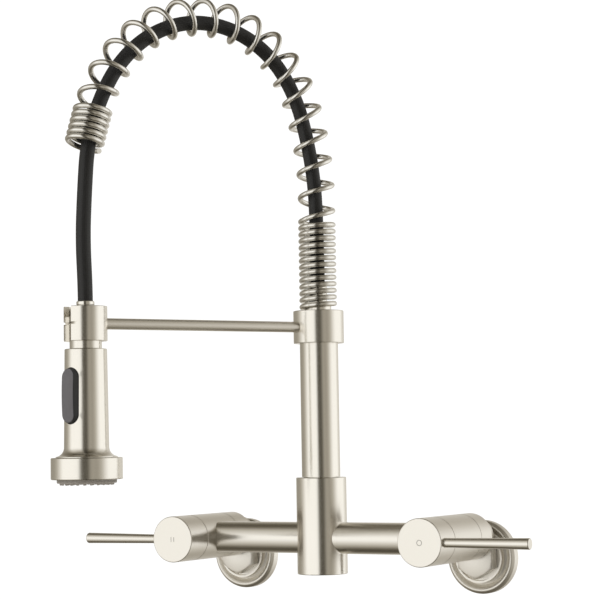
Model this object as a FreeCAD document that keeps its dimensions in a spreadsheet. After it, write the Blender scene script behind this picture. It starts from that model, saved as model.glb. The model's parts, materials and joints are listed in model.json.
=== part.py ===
import FreeCAD, Part
import math
import os

import Sketcher
from FreeCAD import Placement, Rotation, Vector

# Wall-mounted bridge faucet with a spring arch and a pull-down spray head.
#
# Frame, in millimetres: the origin lies in the wall plane, midway between the
# two water inlets. +X points to the right of a person facing the wall, +Y into
# the wall, +Z up. Heights of the valves are measured from the wall outwards.

doc = FreeCAD.newDocument("bridge_faucet")
sheet = doc.addObject("Spreadsheet::Sheet", "sizes")

DRIVING_DIMENSIONS = {
    # where the main axes stand
    "inlet_spacing": 203.2, "bridge_rise": 16, "bridge_reach": 64,
    "arm_turn": 30, "arm_reach": 188.7, "arm_height": 171.2,
    # wall side
    "stub_radius": 10.478, "stub_length": 16, "stub_neck": 10, "stub_bore": 7,
    "flange_radius": 27, "flange_depth": 9, "flange_lip_radius": 18.6, "flange_lip_depth": 11.5,
    "flange_hole": 10.9, "hex_flats": 27, "hex_start": 8.8, "hex_end": 18.8,
    "spigot_radius": 13.1, "spigot_start": 12.2, "spigot_end": 35.8,
    "nut_bore": 13.3, "nut_start": 23.8, "nut_end": 42,
    # valves and handles
    "valve_radius": 17, "valve_start": 42.3, "cap_start": 87, "cap_end": 110,
    "chamber_radius": 10.4, "chamber_start": 58.5, "chamber_step": 76, "mouth_radius": 12.4,
    "disc_radius": 8.3, "disc_thickness": 2.9, "spindle_radius": 4, "running_gap": 0.05,
    "lever_depth": 104, "lever_root": 3.3, "lever_tip": 3.98, "lever_reach": 80.2,
    "grub_radius": 2,
    # bridge
    "pipe_radius": 11.55, "pipe_bore": 9.8, "pipe_inset": 13.2, "port_radius": 8,
    "base_radius": 18.5, "base_bottom": -10.3, "base_top": 60.5, "base_chamber": 9.8,
    "bush_radius": 13.4, "bush_start": 44, "swivel_radius": 12, "swivel_bottom": 31,
    # post, collar, arm and holder ring
    "post_radius": 14.2, "post_bore": 9.2, "post_start": 60.9, "post_top": 183.3,
    "boss_radius": 9.7, "boss_top": 189.8,
    "collar_radius": 18.7, "collar_start": 159.3, "collar_top": 183.5,
    "arm_radius": 3.97, "ring_radius": 15.1, "ring_bore": 11.5, "ring_start": 158.8, "ring_top": 183,
    "ring_opening": 12.4, "ring_slit": 1.7,
    # spring and hose
    "wire_diameter": 3.9, "coil_diameter": 24.2, "hose_diameter": 10.5,
    # spray head
    "neck_radius": 11.2, "neck_top": 176.4, "stem_radius": 7, "stem_bottom": 141,
    "head_top": 153.5, "head_top_radius": 14.7, "head_radius": 15.65, "head_waist": 80.9,
    "bell_radius": 24.8, "bell_top": 78.6, "bell_bottom": 63.5, "face_radius": 20.7,
    "face_bottom": 61, "core_radius": 8.4, "spool_radius": 4.3,
    "toggle_width": 12.4, "toggle_length": 38.4, "toggle_height": 121, "toggle_turn": 9.3,
    "toggle_pivot": 11.7, "toggle_crown": 18.7, "pin_radius": 0.8,
}

for row, (alias, value) in enumerate(DRIVING_DIMENSIONS.items(), start=1):
    sheet.set(f"A{row}", alias)
    sheet.set(f"B{row}", str(value))
    sheet.setAlias(f"B{row}", alias)
doc.recompute()


class Size:
    """A length that knows both its value and the sheet expression that gives it."""

    def __init__(self, value, text):
        self.value = value
        self.text = text

    def joined(self, other, sign, value):
        return Size(value, f"({self.text} {sign} {as_size(other).text})")

    def __add__(self, other):
        return self.joined(other, "+", self.value + as_size(other).value)

    def __sub__(self, other):
        return self.joined(other, "-", self.value - as_size(other).value)

    def __mul__(self, other):
        return self.joined(other, "*", self.value * as_size(other).value)

    def __truediv__(self, other):
        return self.joined(other, "/", self.value / as_size(other).value)

    def __radd__(self, other):
        return as_size(other) + self

    def __rsub__(self, other):
        return as_size(other) - self

    def __rmul__(self, other):
        return as_size(other) * self

    def __neg__(self):
        return as_size(0) - self


def as_size(value):
    return value if isinstance(value, Size) else Size(float(value), repr(float(value)))


class Sizes:
    """Reads a driving dimension by its alias: d.post_radius."""

    def __getattr__(self, alias):
        return Size(float(DRIVING_DIMENSIONS[alias]), f"sizes.{alias}")


d = Sizes()


def sine(angle):
    return Size(math.sin(math.radians(angle.value)), f"sin({angle.text} * 1 deg)")


def cosine(angle):
    return Size(math.cos(math.radians(angle.value)), f"cos({angle.text} * 1 deg)")


# Directions that pieces can point in: each turns a piece's own +Z that way.
UP = Rotation()
OUTWARDS = Rotation(Vector(1, 0, 0), 90)
LEFT = Rotation(Vector(0, 1, 0), -90)
RIGHT = Rotation(Vector(0, 1, 0), 90)
DOWN = Rotation(Vector(1, 0, 0), 180)
BACK = Rotation(Vector(1, 0, 0), -90)

HALF_SPACING = d.inlet_spacing / 2
POST = (as_size(0), -d.bridge_reach)
SPRAY = (-(d.arm_reach * sine(d.arm_turn)), -(d.bridge_reach + d.arm_reach * cosine(d.arm_turn)))
ARM_OUT = Rotation(Vector(0, 0, 1), -d.arm_turn.value) * OUTWARDS
TOGGLE_OUT = Rotation(Vector(0, 0, 1), -d.toggle_turn.value) * OUTWARDS

nodes = []


def bind(thing, **sizes):
    """Give an object's properties their sheet expressions."""
    for name, size in sizes.items():
        thing.setExpression(name, as_size(size).text)


def put(thing, spot, rotation=UP):
    """Stand an object at a spot, with its own +Z along the rotation."""
    x, y, z = (as_size(value) for value in spot)
    thing.Placement = Placement(Vector(x.value, y.value, z.value), rotation)
    thing.setExpression(".Placement.Base.x", x.text)
    thing.setExpression(".Placement.Base.y", y.text)
    thing.setExpression(".Placement.Base.z", z.text)
    return thing


def node(thing, label):
    """Name an object as a sub-part that is exported."""
    thing.Label = label
    nodes.append(thing)
    return thing


def plane(body, role):
    return next(item for item in body.Origin.OriginFeatures if item.Role == role)


def sketch_on(body, role, name):
    sketch = body.newObject("Sketcher::SketchObject", name)
    sketch.AttachmentSupport = [(plane(body, role), "")]
    sketch.MapMode = "FlatFace"
    return sketch


def hold_point(sketch, line, across, along):
    """Dimension a line's first point from the sketch's origin."""
    for kind, axis, size in (("DistanceX", -2, across), ("DistanceY", -1, along)):
        if size.text == "0.0":
            sketch.addConstraint(Sketcher.Constraint("PointOnObject", line, 1, axis))
            continue
        number = sketch.addConstraint(Sketcher.Constraint(kind, -1, 1, line, 1, size.value))
        sketch.setExpression(f"Constraints[{number}]", size.text)


def draw_outline(sketch, corners):
    """Draw a closed outline of straight lines through dimensioned corners."""
    corners = [(as_size(across), as_size(along)) for across, along in corners]
    points = [Vector(across.value, along.value, 0) for across, along in corners]
    count = len(points)
    for number in range(count):
        line = Part.LineSegment(points[number], points[(number + 1) % count])
        sketch.addGeometry(line, False)
    for number, corner in enumerate(corners):
        joint = Sketcher.Constraint("Coincident", number, 2, (number + 1) % count, 1)
        sketch.addConstraint(joint)
        hold_point(sketch, number, *corner)


def round_edge_names(body, places):
    """Names of the circular edges at the given radii and heights about the axis."""
    names = []
    for radius, height in places:
        for number, edge in enumerate(body.Shape.Edges, start=1):
            curve = edge.Curve
            if not isinstance(curve, Part.Circle):
                continue
            near = abs(curve.Radius - radius) < 0.01 and abs(curve.Center.z - height) < 0.01
            if near and f"Edge{number}" not in names:
                names.append(f"Edge{number}")
    return names


def turned(name, corners, rounded=()):
    """A piece turned about its own Z axis, with chosen edges rounded.

    corners holds (radius, height) pairs; rounded holds (fillet, places).
    """
    body = doc.addObject("PartDesign::Body", name)
    sketch = sketch_on(body, "XZ_Plane", name + "_outline")
    draw_outline(sketch, corners)
    turn = body.newObject("PartDesign::Revolution", name + "_turn")
    turn.Profile = sketch
    turn.ReferenceAxis = (sketch, ["V_Axis"])
    turn.Angle = 360
    sketch.Visibility = False
    for number, (fillet, places) in enumerate(rounded):
        doc.recompute()
        places = [(as_size(radius).value, as_size(height).value) for radius, height in places]
        edges = round_edge_names(body, places)
        base = body.Tip
        softened = body.newObject("PartDesign::Fillet", f"{name}_round_{number}")
        softened.Base = (base, edges)
        bind(softened, Radius=fillet)
        body.Tip = softened
    return body


def tube(name, bore, radius, start, end, rounded=()):
    """A turned ring or sleeve; a bore of 0 makes a solid bar."""
    return turned(name, [(bore, start), (radius, start), (radius, end), (bore, end)], rounded)


def cylinder(name, radius, length, spot, rotation=UP):
    bar = doc.addObject("Part::Cylinder", name)
    bind(bar, Radius=radius, Height=length)
    return put(bar, spot, rotation)


def box(name, width, depth, height, spot, rotation=UP):
    """A box centred on its own Z axis."""
    block = doc.addObject("Part::Box", name)
    bind(block, Length=width, Width=depth, Height=height)
    half = rotation.multVec(Vector(as_size(width).value / 2, as_size(depth).value / 2, 0))
    x, y, z = spot
    return put(block, (x - half.x, y - half.y, z - half.z), rotation)


def fused(name, pieces):
    whole = doc.addObject("Part::MultiFuse", name)
    whole.Shapes = pieces
    return whole


def cut(name, base, tools):
    """The base with every tool taken out of it."""
    result = doc.addObject("Part::Cut", name)
    result.Base = base
    result.Tool = tools[0] if len(tools) == 1 else fused(name + "_tools", tools)
    return result


def along_valve(side, distance):
    """A spot on a valve's axis, at a distance out from the wall."""
    return (side * HALF_SPACING, -as_size(distance), d.bridge_rise)


# ---------------------------------------------------------------- wall side

def wall_flange(name, side):
    """Dished escutcheon with a raised lip round the eccentric's hexagon."""
    outline = [
        (d.flange_hole, 0.3), (d.flange_radius, 0.3), (d.flange_radius, d.flange_depth - 3),
        (d.flange_radius - 2.4, d.flange_depth), (d.flange_radius - 4.4, d.flange_depth - 1),
        (d.flange_lip_radius + 1.6, d.flange_depth - 3.4), (d.flange_lip_radius, d.flange_depth - 2.6),
        (d.flange_lip_radius, d.flange_lip_depth), (d.flange_lip_radius - 1.4, d.flange_lip_depth),
        (d.flange_lip_radius - 1.8, d.hex_start - 0.4), (d.flange_hole, d.hex_start - 0.4),
    ]
    rim = [(d.flange_radius, d.flange_depth - 3), (d.flange_radius - 2.4, d.flange_depth)]
    flange = turned(name, outline, [(1.6, rim)])
    node(put(flange, (side * HALF_SPACING, 0, 0), OUTWARDS), name)


def eccentric(name, side):
    """Offset union: wall stub, wrench hexagon and the raised spigot of the valve."""
    x = side * HALF_SPACING
    stub = cylinder(name + "_stub", d.stub_radius, d.stub_length, (x, d.stub_length, 0), OUTWARDS)
    neck = cylinder(name + "_neck", d.stub_neck, d.stub_length + d.hex_start + 1,
                    (x, d.stub_length, 0), OUTWARDS)
    hexagon = doc.addObject("Part::Prism", name + "_hexagon")
    hexagon.Polygon = 6
    bind(hexagon, Circumradius=d.hex_flats / math.sqrt(3), Height=d.hex_end - d.hex_start)
    put(hexagon, (x, -d.hex_start, 0), OUTWARDS * Rotation(Vector(0, 0, 1), 90))
    spigot = cylinder(name + "_spigot", d.spigot_radius, d.spigot_end - d.spigot_start,
                      (x, -d.spigot_start, d.bridge_rise), OUTWARDS)
    blank = fused(name + "_blank", [stub, neck, hexagon, spigot])
    link_start = d.spigot_start + 1.2
    link_end = d.hex_end - 1.8
    lower = cylinder(name + "_lower_bore", d.stub_bore, d.stub_length + link_end + 1,
                     (x, d.stub_length + 1, 0), OUTWARDS)
    upper = cylinder(name + "_upper_bore", d.stub_bore, d.spigot_end,
                     (x, -link_start, d.bridge_rise), OUTWARDS)
    link = box(name + "_link", d.stub_bore, d.bridge_rise, link_end - link_start,
               (x, -link_start, d.bridge_rise / 2), OUTWARDS)
    node(cut(name, blank, [lower, upper, link]), name)


def union_nut(name, side):
    """Round union nut whose shoulder pulls the valve's tail onto the eccentric."""
    tail = d.mouth_radius - 2.2
    outline = [
        (d.nut_bore, d.nut_start), (d.valve_radius, d.nut_start), (d.valve_radius, d.nut_end),
        (tail, d.nut_end), (tail, d.nut_end - 2.4), (d.nut_bore, d.nut_end - 2.4),
    ]
    ends = [(d.valve_radius, d.nut_start), (d.valve_radius, d.nut_end)]
    nut = turned(name, outline, [(0.5, ends)])
    node(put(nut, along_valve(side, 0), OUTWARDS), name)


def union_washer(name, side):
    washer = tube(name, d.stub_bore, d.mouth_radius - 0.1, d.spigot_end, d.spigot_end + 1.8)
    node(put(washer, along_valve(side, 0), OUTWARDS), name)


# ------------------------------------------------------------------- valves

def valve_body(name, side):
    """Brass valve body: flanged tail, water way, cartridge chamber and side port."""
    tail_start = d.spigot_end + 1.8
    shoulder = d.nut_end - 2.5
    outline = [
        (d.stub_bore, tail_start), (d.mouth_radius, tail_start), (d.mouth_radius, shoulder),
        (d.mouth_radius - 2.4, shoulder), (d.mouth_radius - 2.4, d.valve_start),
        (d.valve_radius, d.valve_start), (d.valve_radius, d.cap_start - 0.35),
        (d.mouth_radius, d.cap_start - 0.35), (d.mouth_radius, d.chamber_step),
        (d.chamber_radius, d.chamber_step), (d.chamber_radius, d.chamber_start),
        (d.stub_bore, d.chamber_start),
    ]
    rims = [(d.valve_radius, d.valve_start), (d.valve_radius, d.cap_start - 0.35)]
    blank = turned(name + "_blank", outline, [(0.4, rims)])
    put(blank, along_valve(side, 0), OUTWARDS)
    inward = LEFT if side > 0 else RIGHT
    x, y, z = along_valve(side, d.bridge_reach)
    port = cylinder(name + "_port", d.port_radius, d.valve_radius, (x, y, z), inward)
    socket = cylinder(name + "_socket", d.pipe_radius + 0.05, d.valve_radius,
                      (x - side * (d.pipe_inset - 0.1), y, z), inward)
    node(cut(name, blank, [port, socket]), name)


def cartridge(name, side):
    """Quarter-turn cartridge housing with two water windows and a threaded head."""
    outer = d.chamber_radius - 0.1
    head_end = d.cap_start - 2
    outline = [
        (d.disc_radius + 0.1, d.chamber_start + 0.3), (outer, d.chamber_start + 0.3),
        (outer, d.chamber_step + 0.1), (d.mouth_radius - 0.1, d.chamber_step + 0.1),
        (d.mouth_radius - 0.1, head_end), (7.2, head_end), (7.2, d.cap_start + 1.6),
        (d.spindle_radius + d.running_gap, d.cap_start + 1.6),
        (d.spindle_radius + d.running_gap, d.chamber_step - 4.6),
        (d.disc_radius + 0.1, d.chamber_step - 4.6),
    ]
    blank = put(turned(name + "_blank", outline), along_valve(side, 0), OUTWARDS)
    window = cylinder(name + "_window", 2.6, 2 * d.chamber_radius + 1,
                      (side * HALF_SPACING + d.chamber_radius + 0.5, -(d.chamber_step - 8),
                       d.bridge_rise), LEFT)
    node(cut(name, blank, [window]), name)


def seat_seal(name, side):
    seal = tube(name, 5.6, d.disc_radius, d.chamber_start + 0.05, d.chamber_start + 1.7)
    node(put(seal, along_valve(side, 0), OUTWARDS), name)


def ceramic_disc(name, side, start, turn):
    """Ceramic disc with two round ports, turned about the valve's axis."""
    blank = put(tube(name + "_blank", 0, d.disc_radius, start, start + d.disc_thickness),
                along_valve(side, 0), OUTWARDS)
    ports = []
    for number, sign in enumerate((-1, 1)):
        off_x = 4.4 * sign * math.cos(math.radians(turn))
        off_z = 4.4 * sign * math.sin(math.radians(turn))
        x, y, z = along_valve(side, start - 1)
        ports.append(cylinder(f"{name}_port_{number}", 2.3, d.disc_thickness + 2,
                              (x + off_x, y, z + off_z), OUTWARDS))
    node(cut(name, blank, ports), name)


def spindle(name, side, start):
    """Spindle with the drive plate that turns the upper ceramic disc."""
    plate = d.disc_radius - 0.3
    outline = [
        (0, start), (plate, start), (plate, start + 2.2), (d.spindle_radius, start + 2.2),
        (d.spindle_radius, d.cap_start + 10.6), (0, d.cap_start + 10.6),
    ]
    node(put(turned(name, outline), along_valve(side, 0), OUTWARDS), name)


def handle_cap(name, side):
    """Cylindrical handle: socket for the spindle, lever hole and grub screw hole."""
    socket = d.spindle_radius + d.running_gap
    outline = [
        (13.6, d.cap_start), (d.valve_radius, d.cap_start), (d.valve_radius, d.cap_end),
        (0, d.cap_end), (0, d.cap_start + 11), (socket, d.cap_start + 11),
        (socket, d.cap_start + 4), (13.6, d.cap_start + 4),
    ]
    rims = [(0.7, [(d.valve_radius, d.cap_end)]), (0.4, [(d.valve_radius, d.cap_start)])]
    blank = put(turned(name + "_blank", outline, rims), along_valve(side, 0), OUTWARDS)
    outward = RIGHT if side > 0 else LEFT
    x, y, z = along_valve(side, d.lever_depth)
    lever_hole = cylinder(name + "_lever_hole", d.lever_root + 0.05, d.valve_radius,
                          (x + side * 5.9, y, z), outward)
    screw_x, screw_y, screw_z = along_valve(side, d.cap_start + 7.5)
    screw_hole = cylinder(name + "_screw_hole", d.grub_radius + 0.05, d.valve_radius,
                          (screw_x, screw_y, screw_z), DOWN)
    node(cut(name, blank, [lever_hole, screw_hole]), name)


def lever(name, side):
    """Round lever, a little thicker towards its tip, with a short threaded root."""
    outward = RIGHT if side > 0 else LEFT
    outline = [
        (0, 6), (d.lever_root, 6), (d.lever_root, d.valve_radius + 0.6),
        (d.lever_tip, d.lever_reach), (0, d.lever_reach),
    ]
    bar = turned(name, outline, [(0.9, [(d.lever_tip, d.lever_reach)])])
    node(put(bar, along_valve(side, d.lever_depth), outward), name)


def grub_screw(name, spot, rotation, start, end):
    """Headless screw with a hexagon socket in its outer end."""
    screw = cylinder(name + "_thread", d.grub_radius, end - start, spot, rotation)
    shift = rotation.multVec(Vector(0, 0, 1))
    depth = as_size(end - start).value - 1.6
    key = doc.addObject("Part::Prism", name + "_key")
    key.Polygon = 6
    bind(key, Circumradius=d.grub_radius * 0.5, Height=3)
    x, y, z = spot
    put(key, (x + shift.x * depth, y + shift.y * depth, z + shift.z * depth), rotation)
    node(cut(name, screw, [key]), name)


def valve_set(kind, side):
    """Everything on one inlet, from the wall to the lever."""
    wall_flange(f"{kind}_wall_flange", side)
    eccentric(f"{kind}_eccentric", side)
    union_nut(f"{kind}_union_nut", side)
    union_washer(f"{kind}_union_washer", side)
    valve_body(f"{kind}_valve_body", side)
    cartridge(f"{kind}_cartridge", side)
    seat_seal(f"{kind}_seat_seal", side)
    fixed_start = d.chamber_start + 1.75
    turning_start = fixed_start + d.disc_thickness + d.running_gap
    spindle_start = turning_start + d.disc_thickness + 0.1
    ceramic_disc(f"{kind}_fixed_disc", side, fixed_start, 0)
    ceramic_disc(f"{kind}_turning_disc", side, turning_start, 90)
    spindle(f"{kind}_spindle", side, spindle_start)
    handle_cap(f"{kind}_handle_cap", side)
    lever(f"{kind}_lever", side)
    x, y, z = along_valve(side, d.cap_start + 7.5)
    grub_screw(f"{kind}_handle_screw", (x, y, z - 4.2), DOWN, 4.2, 12.5)


# ------------------------------------------------------------------- bridge

def bridge_pipe(name, side):
    """Straight pipe from a valve's side port to the centre body."""
    start = d.pipe_inset
    end = HALF_SPACING - d.pipe_inset
    rims = [(0.4, [(d.pipe_radius, start), (d.pipe_radius, end)])]
    pipe = tube(name, d.pipe_bore, d.pipe_radius, start, end, rims)
    node(put(pipe, (POST[0], POST[1], d.bridge_rise), RIGHT if side > 0 else LEFT), name)


def centre_body(name):
    """Upright body that joins both pipes and carries the swivelling post."""
    rise = -d.base_bottom
    outline = [
        (d.base_chamber + 2.4, 0), (d.base_radius, 0), (d.base_radius, d.base_top + rise),
        (d.bush_radius + 0.1, d.base_top + rise), (d.bush_radius + 0.1, d.bush_start + rise),
        (d.swivel_radius + 0.15, d.bush_start + rise),
        (d.swivel_radius + 0.15, d.swivel_bottom + rise - 0.4),
        (d.base_chamber, d.swivel_bottom + rise - 0.4), (d.base_chamber, 8), (d.base_chamber + 2.4, 8),
    ]
    rims = [(0.6, [(d.base_radius, 0), (d.base_radius, d.base_top + rise)])]
    blank = put(turned(name + "_blank", outline, rims), (POST[0], POST[1], d.base_bottom))
    tools = []
    for side, inward in ((-1, LEFT), (1, RIGHT)):
        spot = (POST[0], POST[1], d.bridge_rise)
        tools.append(cylinder(f"{name}_port_{side + 1}", d.port_radius, d.base_radius, spot, inward))
        socket_spot = (POST[0] + side * (d.pipe_inset - 0.1), POST[1], d.bridge_rise)
        tools.append(cylinder(f"{name}_socket_{side + 1}", d.pipe_radius + 0.05, d.base_radius,
                              socket_spot, inward))
    tools.append(cylinder(name + "_screw_hole", d.grub_radius + 0.05, d.base_radius,
                          (POST[0], POST[1], d.bush_start + 8), BACK))
    node(cut(name, blank, tools), name)


def base_plug(name):
    """Screwed plug that closes the bottom of the centre body."""
    radius = d.base_chamber + 2.3
    blank = put(turned(name + "_blank", [(0, 0.2), (radius, 0.2), (radius, 6), (0, 6)],
                       [(0.5, [(radius, 0.2)])]), (POST[0], POST[1], d.base_bottom))
    key = doc.addObject("Part::Prism", name + "_key")
    key.Polygon = 6
    bind(key, Circumradius=4.6, Height=4)
    put(key, (POST[0], POST[1], d.base_bottom - 0.5))
    node(cut(name, blank, [key]), name)


def at_post(thing, name):
    node(put(thing, (POST[0], POST[1], 0)), name)


def swivel_bush(name):
    """Plastic bearing sleeve with a hole for the retaining screw."""
    blank = put(tube(name + "_blank", d.swivel_radius + d.running_gap, d.bush_radius,
                     d.bush_start + 0.1, d.base_top - 0.1), (POST[0], POST[1], 0))
    hole = cylinder(name + "_hole", d.grub_radius + 0.4, d.base_radius,
                    (POST[0], POST[1], d.bush_start + 8), BACK)
    node(cut(name, blank, [hole]), name)


# --------------------------------------------------- post, collar, arm, ring

SEAL_HEIGHTS = (34, 39)


def post(name):
    """Upright pipe: grooved swivel spigot, tall shank, closed top and spring boss."""
    spigot = d.swivel_radius
    groove = spigot - 1.45
    outline = [(d.post_bore, d.swivel_bottom), (spigot, d.swivel_bottom)]
    for height in SEAL_HEIGHTS:
        outline += [(spigot, height), (groove, height), (groove, height + 1.9), (spigot, height + 1.9)]
    screw_height = d.bush_start + 8
    outline += [
        (spigot, screw_height - 2.5), (groove, screw_height - 2.5),
        (groove, screw_height + 2.5), (spigot, screw_height + 2.5), (spigot, d.post_start),
        (d.post_radius, d.post_start), (d.post_radius, d.post_top),
        (d.boss_radius, d.post_top), (d.boss_radius, d.boss_top), (5.1, d.boss_top),
        (5.1, d.post_top - 9), (d.post_bore, d.post_top - 9),
    ]
    at_post(turned(name, outline, [(0.4, [(d.post_radius, d.post_top)])]), name)


def post_seals(name):
    """Two O-rings in the grooves of the post's spigot."""
    rings = []
    for number, height in enumerate(SEAL_HEIGHTS):
        ring = doc.addObject("Part::Torus", f"{name}_{number}")
        bind(ring, Radius1=d.swivel_radius - 0.7, Radius2=0.72)
        rings.append(put(ring, (POST[0], POST[1], height + 0.95)))
    group = doc.addObject("Part::Compound", name)
    group.Links = rings
    node(group, name)


def arm_spot(distance, height):
    """A spot above the arm's line, at a distance from the post's axis."""
    return (-(as_size(distance) * sine(d.arm_turn)),
            -(d.bridge_reach + as_size(distance) * cosine(d.arm_turn)), height)


def collar(name):
    """Clamp ring on the post, with a socket for the arm and a screw behind it."""
    rims = [(0.6, [(d.collar_radius, d.collar_start), (d.collar_radius, d.collar_top)])]
    blank = put(tube(name + "_blank", d.post_radius + 0.05, d.collar_radius,
                     d.collar_start, d.collar_top, rims), (POST[0], POST[1], 0))
    socket = cylinder(name + "_socket", d.arm_radius + 0.05, d.collar_radius,
                      arm_spot(d.post_radius - 2, d.arm_height), ARM_OUT)
    behind = ARM_OUT * Rotation(Vector(1, 0, 0), 180)
    hole = cylinder(name + "_hole", d.grub_radius + 0.05, d.collar_radius,
                    (POST[0], POST[1], d.arm_height), behind)
    node(cut(name, blank, [socket, hole]), name)


def arm(name):
    start = d.post_radius + 0.5
    rod = cylinder(name, d.arm_radius, d.arm_reach - d.ring_bore - 1.3 - start,
                   arm_spot(start, d.arm_height), ARM_OUT)
    node(rod, name)


def holder_ring(name):
    """Open ring that the spray head docks in, with a relief slit beside its mouth."""
    rims = [(0.5, [(d.ring_radius, d.ring_start), (d.ring_radius, d.ring_top)])]
    blank = put(tube(name + "_blank", d.ring_bore, d.ring_radius, d.ring_start, d.ring_top, rims),
                (SPRAY[0], SPRAY[1], 0))
    mouth = box(name + "_mouth", d.ring_opening, d.ring_top - d.ring_start + 4, d.ring_radius + 2,
                (SPRAY[0], SPRAY[1], d.arm_height), ARM_OUT)
    slit = box(name + "_slit", d.ring_opening + 9, d.ring_slit, d.ring_radius + 2,
               (SPRAY[0], SPRAY[1], d.arm_height), ARM_OUT)
    socket = cylinder(name + "_socket", d.arm_radius + 0.05, 6,
                      arm_spot(d.arm_reach - d.ring_bore - 1.2, d.arm_height),
                      ARM_OUT * Rotation(Vector(1, 0, 0), 180))
    node(cut(name, blank, [mouth, slit, socket]), name)


# ---------------------------------------------------------- spring and hose

def in_arm_plane(out, height):
    """Point in the upright plane of the arm, out from the post's axis."""
    turn = math.radians(d.arm_turn.value)
    return Vector(-out * math.sin(turn), -d.bridge_reach.value - out * math.cos(turn), height)


def rounded_path(points, share):
    """Straight runs joined by tangent arcs, each as large as its runs allow."""
    edges = []
    radii = []
    last = points[0]
    for before, corner, after in zip(points, points[1:], points[2:]):
        toward = (before - corner).normalize()
        onward = (after - corner).normalize()
        half_turn = (math.pi - toward.getAngle(onward)) / 2
        reach = share * min((before - corner).Length, (after - corner).Length)
        radius = reach / math.tan(half_turn)
        start = corner + toward * reach
        end = corner + onward * reach
        bisector = (toward + onward).normalize()
        middle = corner + bisector * (radius / math.cos(half_turn) - radius)
        edges.append(Part.LineSegment(last, start).toShape())
        edges.append(Part.Arc(start, middle, end).toShape())
        radii.append(radius)
        last = end
    edges.append(Part.LineSegment(last, points[-1]).toShape())
    return Part.Wire(edges), radii


def swept_rod(points, diameter, share):
    """A round rod along a rounded path."""
    path, radii = rounded_path(points, share)
    first = points[1] - points[0]
    ring = Part.Wire([Part.makeCircle(diameter / 2, points[0], first)])
    rod = path.makePipeShell([ring], True, False)
    return rod, path.Length, radii


# Hose route in the arm's plane: (distance out from the post, height).
HOSE_ROUTE = [
    (0, 191.9), (0, 218), (0.3, 247.5), (1.5, 278.5), (6.9, 310.2), (16.5, 343), (36.1, 371.2),
    (66, 388.6), (100.2, 392.6), (132.9, 382), (159.2, 359.7), (176.3, 330.3), (186.2, 297.5),
    (188.7, 263.7), (190.3, 229.8), (188.7, 195.9), (188.7, 178.3),
]


def hose(name):
    """Flexible hose from the post, through the spring, down to the spray head."""
    points = [in_arm_plane(*place) for place in HOSE_ROUTE]
    rod, length, radii = swept_rod(points, d.hose_diameter.value, 0.45)
    section = math.pi * d.hose_diameter.value ** 2 / 4
    print(f"hose length {length:.1f} mm, radii {[round(radius) for radius in radii]}")
    print(f"hose volume over section times length {rod.Volume / (section * length):.4f}")
    feature = doc.addObject("Part::Feature", name)
    feature.Shape = rod
    node(feature, name)


# The spring's axis in the arm's plane, as stretches of (length, bend radius): up, a slow bend, the bow,
# a wider bow, and straight down to the end.
SPRING_FOOT = 185.65
AXIS_STRETCHES = [(81.8, None), (72.1, 215.2), (163.1, 84.9), (67, 108.9), (30, None)]
# Coils: (turns, pitch) of the close lower end, the open bow and the close upper end.
COIL_RUNS = [(13.25, 4.9), (17, 18.71), (6, 4.5)]
POINTS_PER_TURN = 8


def axis_place(travel):
    """Place and heading on the spring's axis after a length of travel."""
    out, height, heading = 0.0, SPRING_FOOT, 0.0
    for length, radius in AXIS_STRETCHES:
        step = min(travel, length)
        if radius is None:
            out += step * math.sin(heading)
            height += step * math.cos(heading)
        else:
            turned_to = heading + step / radius
            out += radius * (math.cos(heading) - math.cos(turned_to))
            height += radius * (math.sin(turned_to) - math.sin(heading))
            heading = turned_to
        travel -= step
        if travel <= 0:
            break
    return out, height, heading


def coil_travel(turns):
    """Travel along the axis after a number of turns of the wire."""
    travel = 0.0
    for run_turns, pitch in COIL_RUNS:
        step = min(turns, run_turns)
        travel += step * pitch
        turns -= step
    return travel


def coil_point(turns):
    """A point of the wire's centre line after a number of turns."""
    out, height, heading = axis_place(coil_travel(turns))
    phase = 2 * math.pi * (turns - COIL_RUNS[0][0])
    radius = d.coil_diameter.value / 2 / math.cos(math.pi / POINTS_PER_TURN)
    inward = in_arm_plane(out + math.cos(heading), height - math.sin(heading))
    centre = in_arm_plane(out, height)
    aside = (in_arm_plane(math.sin(heading), math.cos(heading))
             - in_arm_plane(0, 0)).cross(inward - centre)
    return centre + (inward - centre) * (radius * math.cos(phase)) + aside * (radius * math.sin(phase))


def spring(name):
    """Close-wound, open and close-wound wire coil round the hose."""
    count = round(sum(turns for turns, pitch in COIL_RUNS) * POINTS_PER_TURN)
    points = [coil_point(number / POINTS_PER_TURN) for number in range(count + 1)]
    rod, length, radii = swept_rod(points, d.wire_diameter.value, 0.48)
    section = math.pi * d.wire_diameter.value ** 2 / 4
    print(f"wire length {length:.0f} mm, volume ratio {rod.Volume / (section * length):.4f}")
    feature = doc.addObject("Part::Feature", name)
    feature.Shape = rod
    node(feature, name)


def post_ferrule(name):
    """Crimped end of the hose, screwed into the top of the post."""
    grip = d.hose_diameter / 2 + 0.05
    outline = [
        (2.6, d.post_top - 7), (5, d.post_top - 7), (5, d.boss_top + 0.1), (6.6, d.boss_top + 0.1),
        (6.6, d.boss_top + 13), (grip, d.boss_top + 13), (grip, d.boss_top + 2), (2.6, d.boss_top + 2),
    ]
    at_post(turned(name, outline), name)


# --------------------------------------------------------------- spray head

def at_spray(thing, name):
    node(put(thing, (SPRAY[0], SPRAY[1], 0)), name)


def spray_ferrule(name):
    """Crimped lower end of the hose."""
    grip = d.hose_diameter / 2 + 0.05
    top = d.ring_top + 3.6
    seat = d.neck_top + 1.8
    outline = [
        (2.6, d.neck_top - 8), (4.9, d.neck_top - 8), (4.9, d.neck_top + 0.1),
        (6.3, d.neck_top + 0.1), (6.3, top), (grip, top), (grip, seat), (2.6, seat),
    ]
    at_spray(turned(name, outline, [(0.3, [(6.3, top)])]), name)


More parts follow.
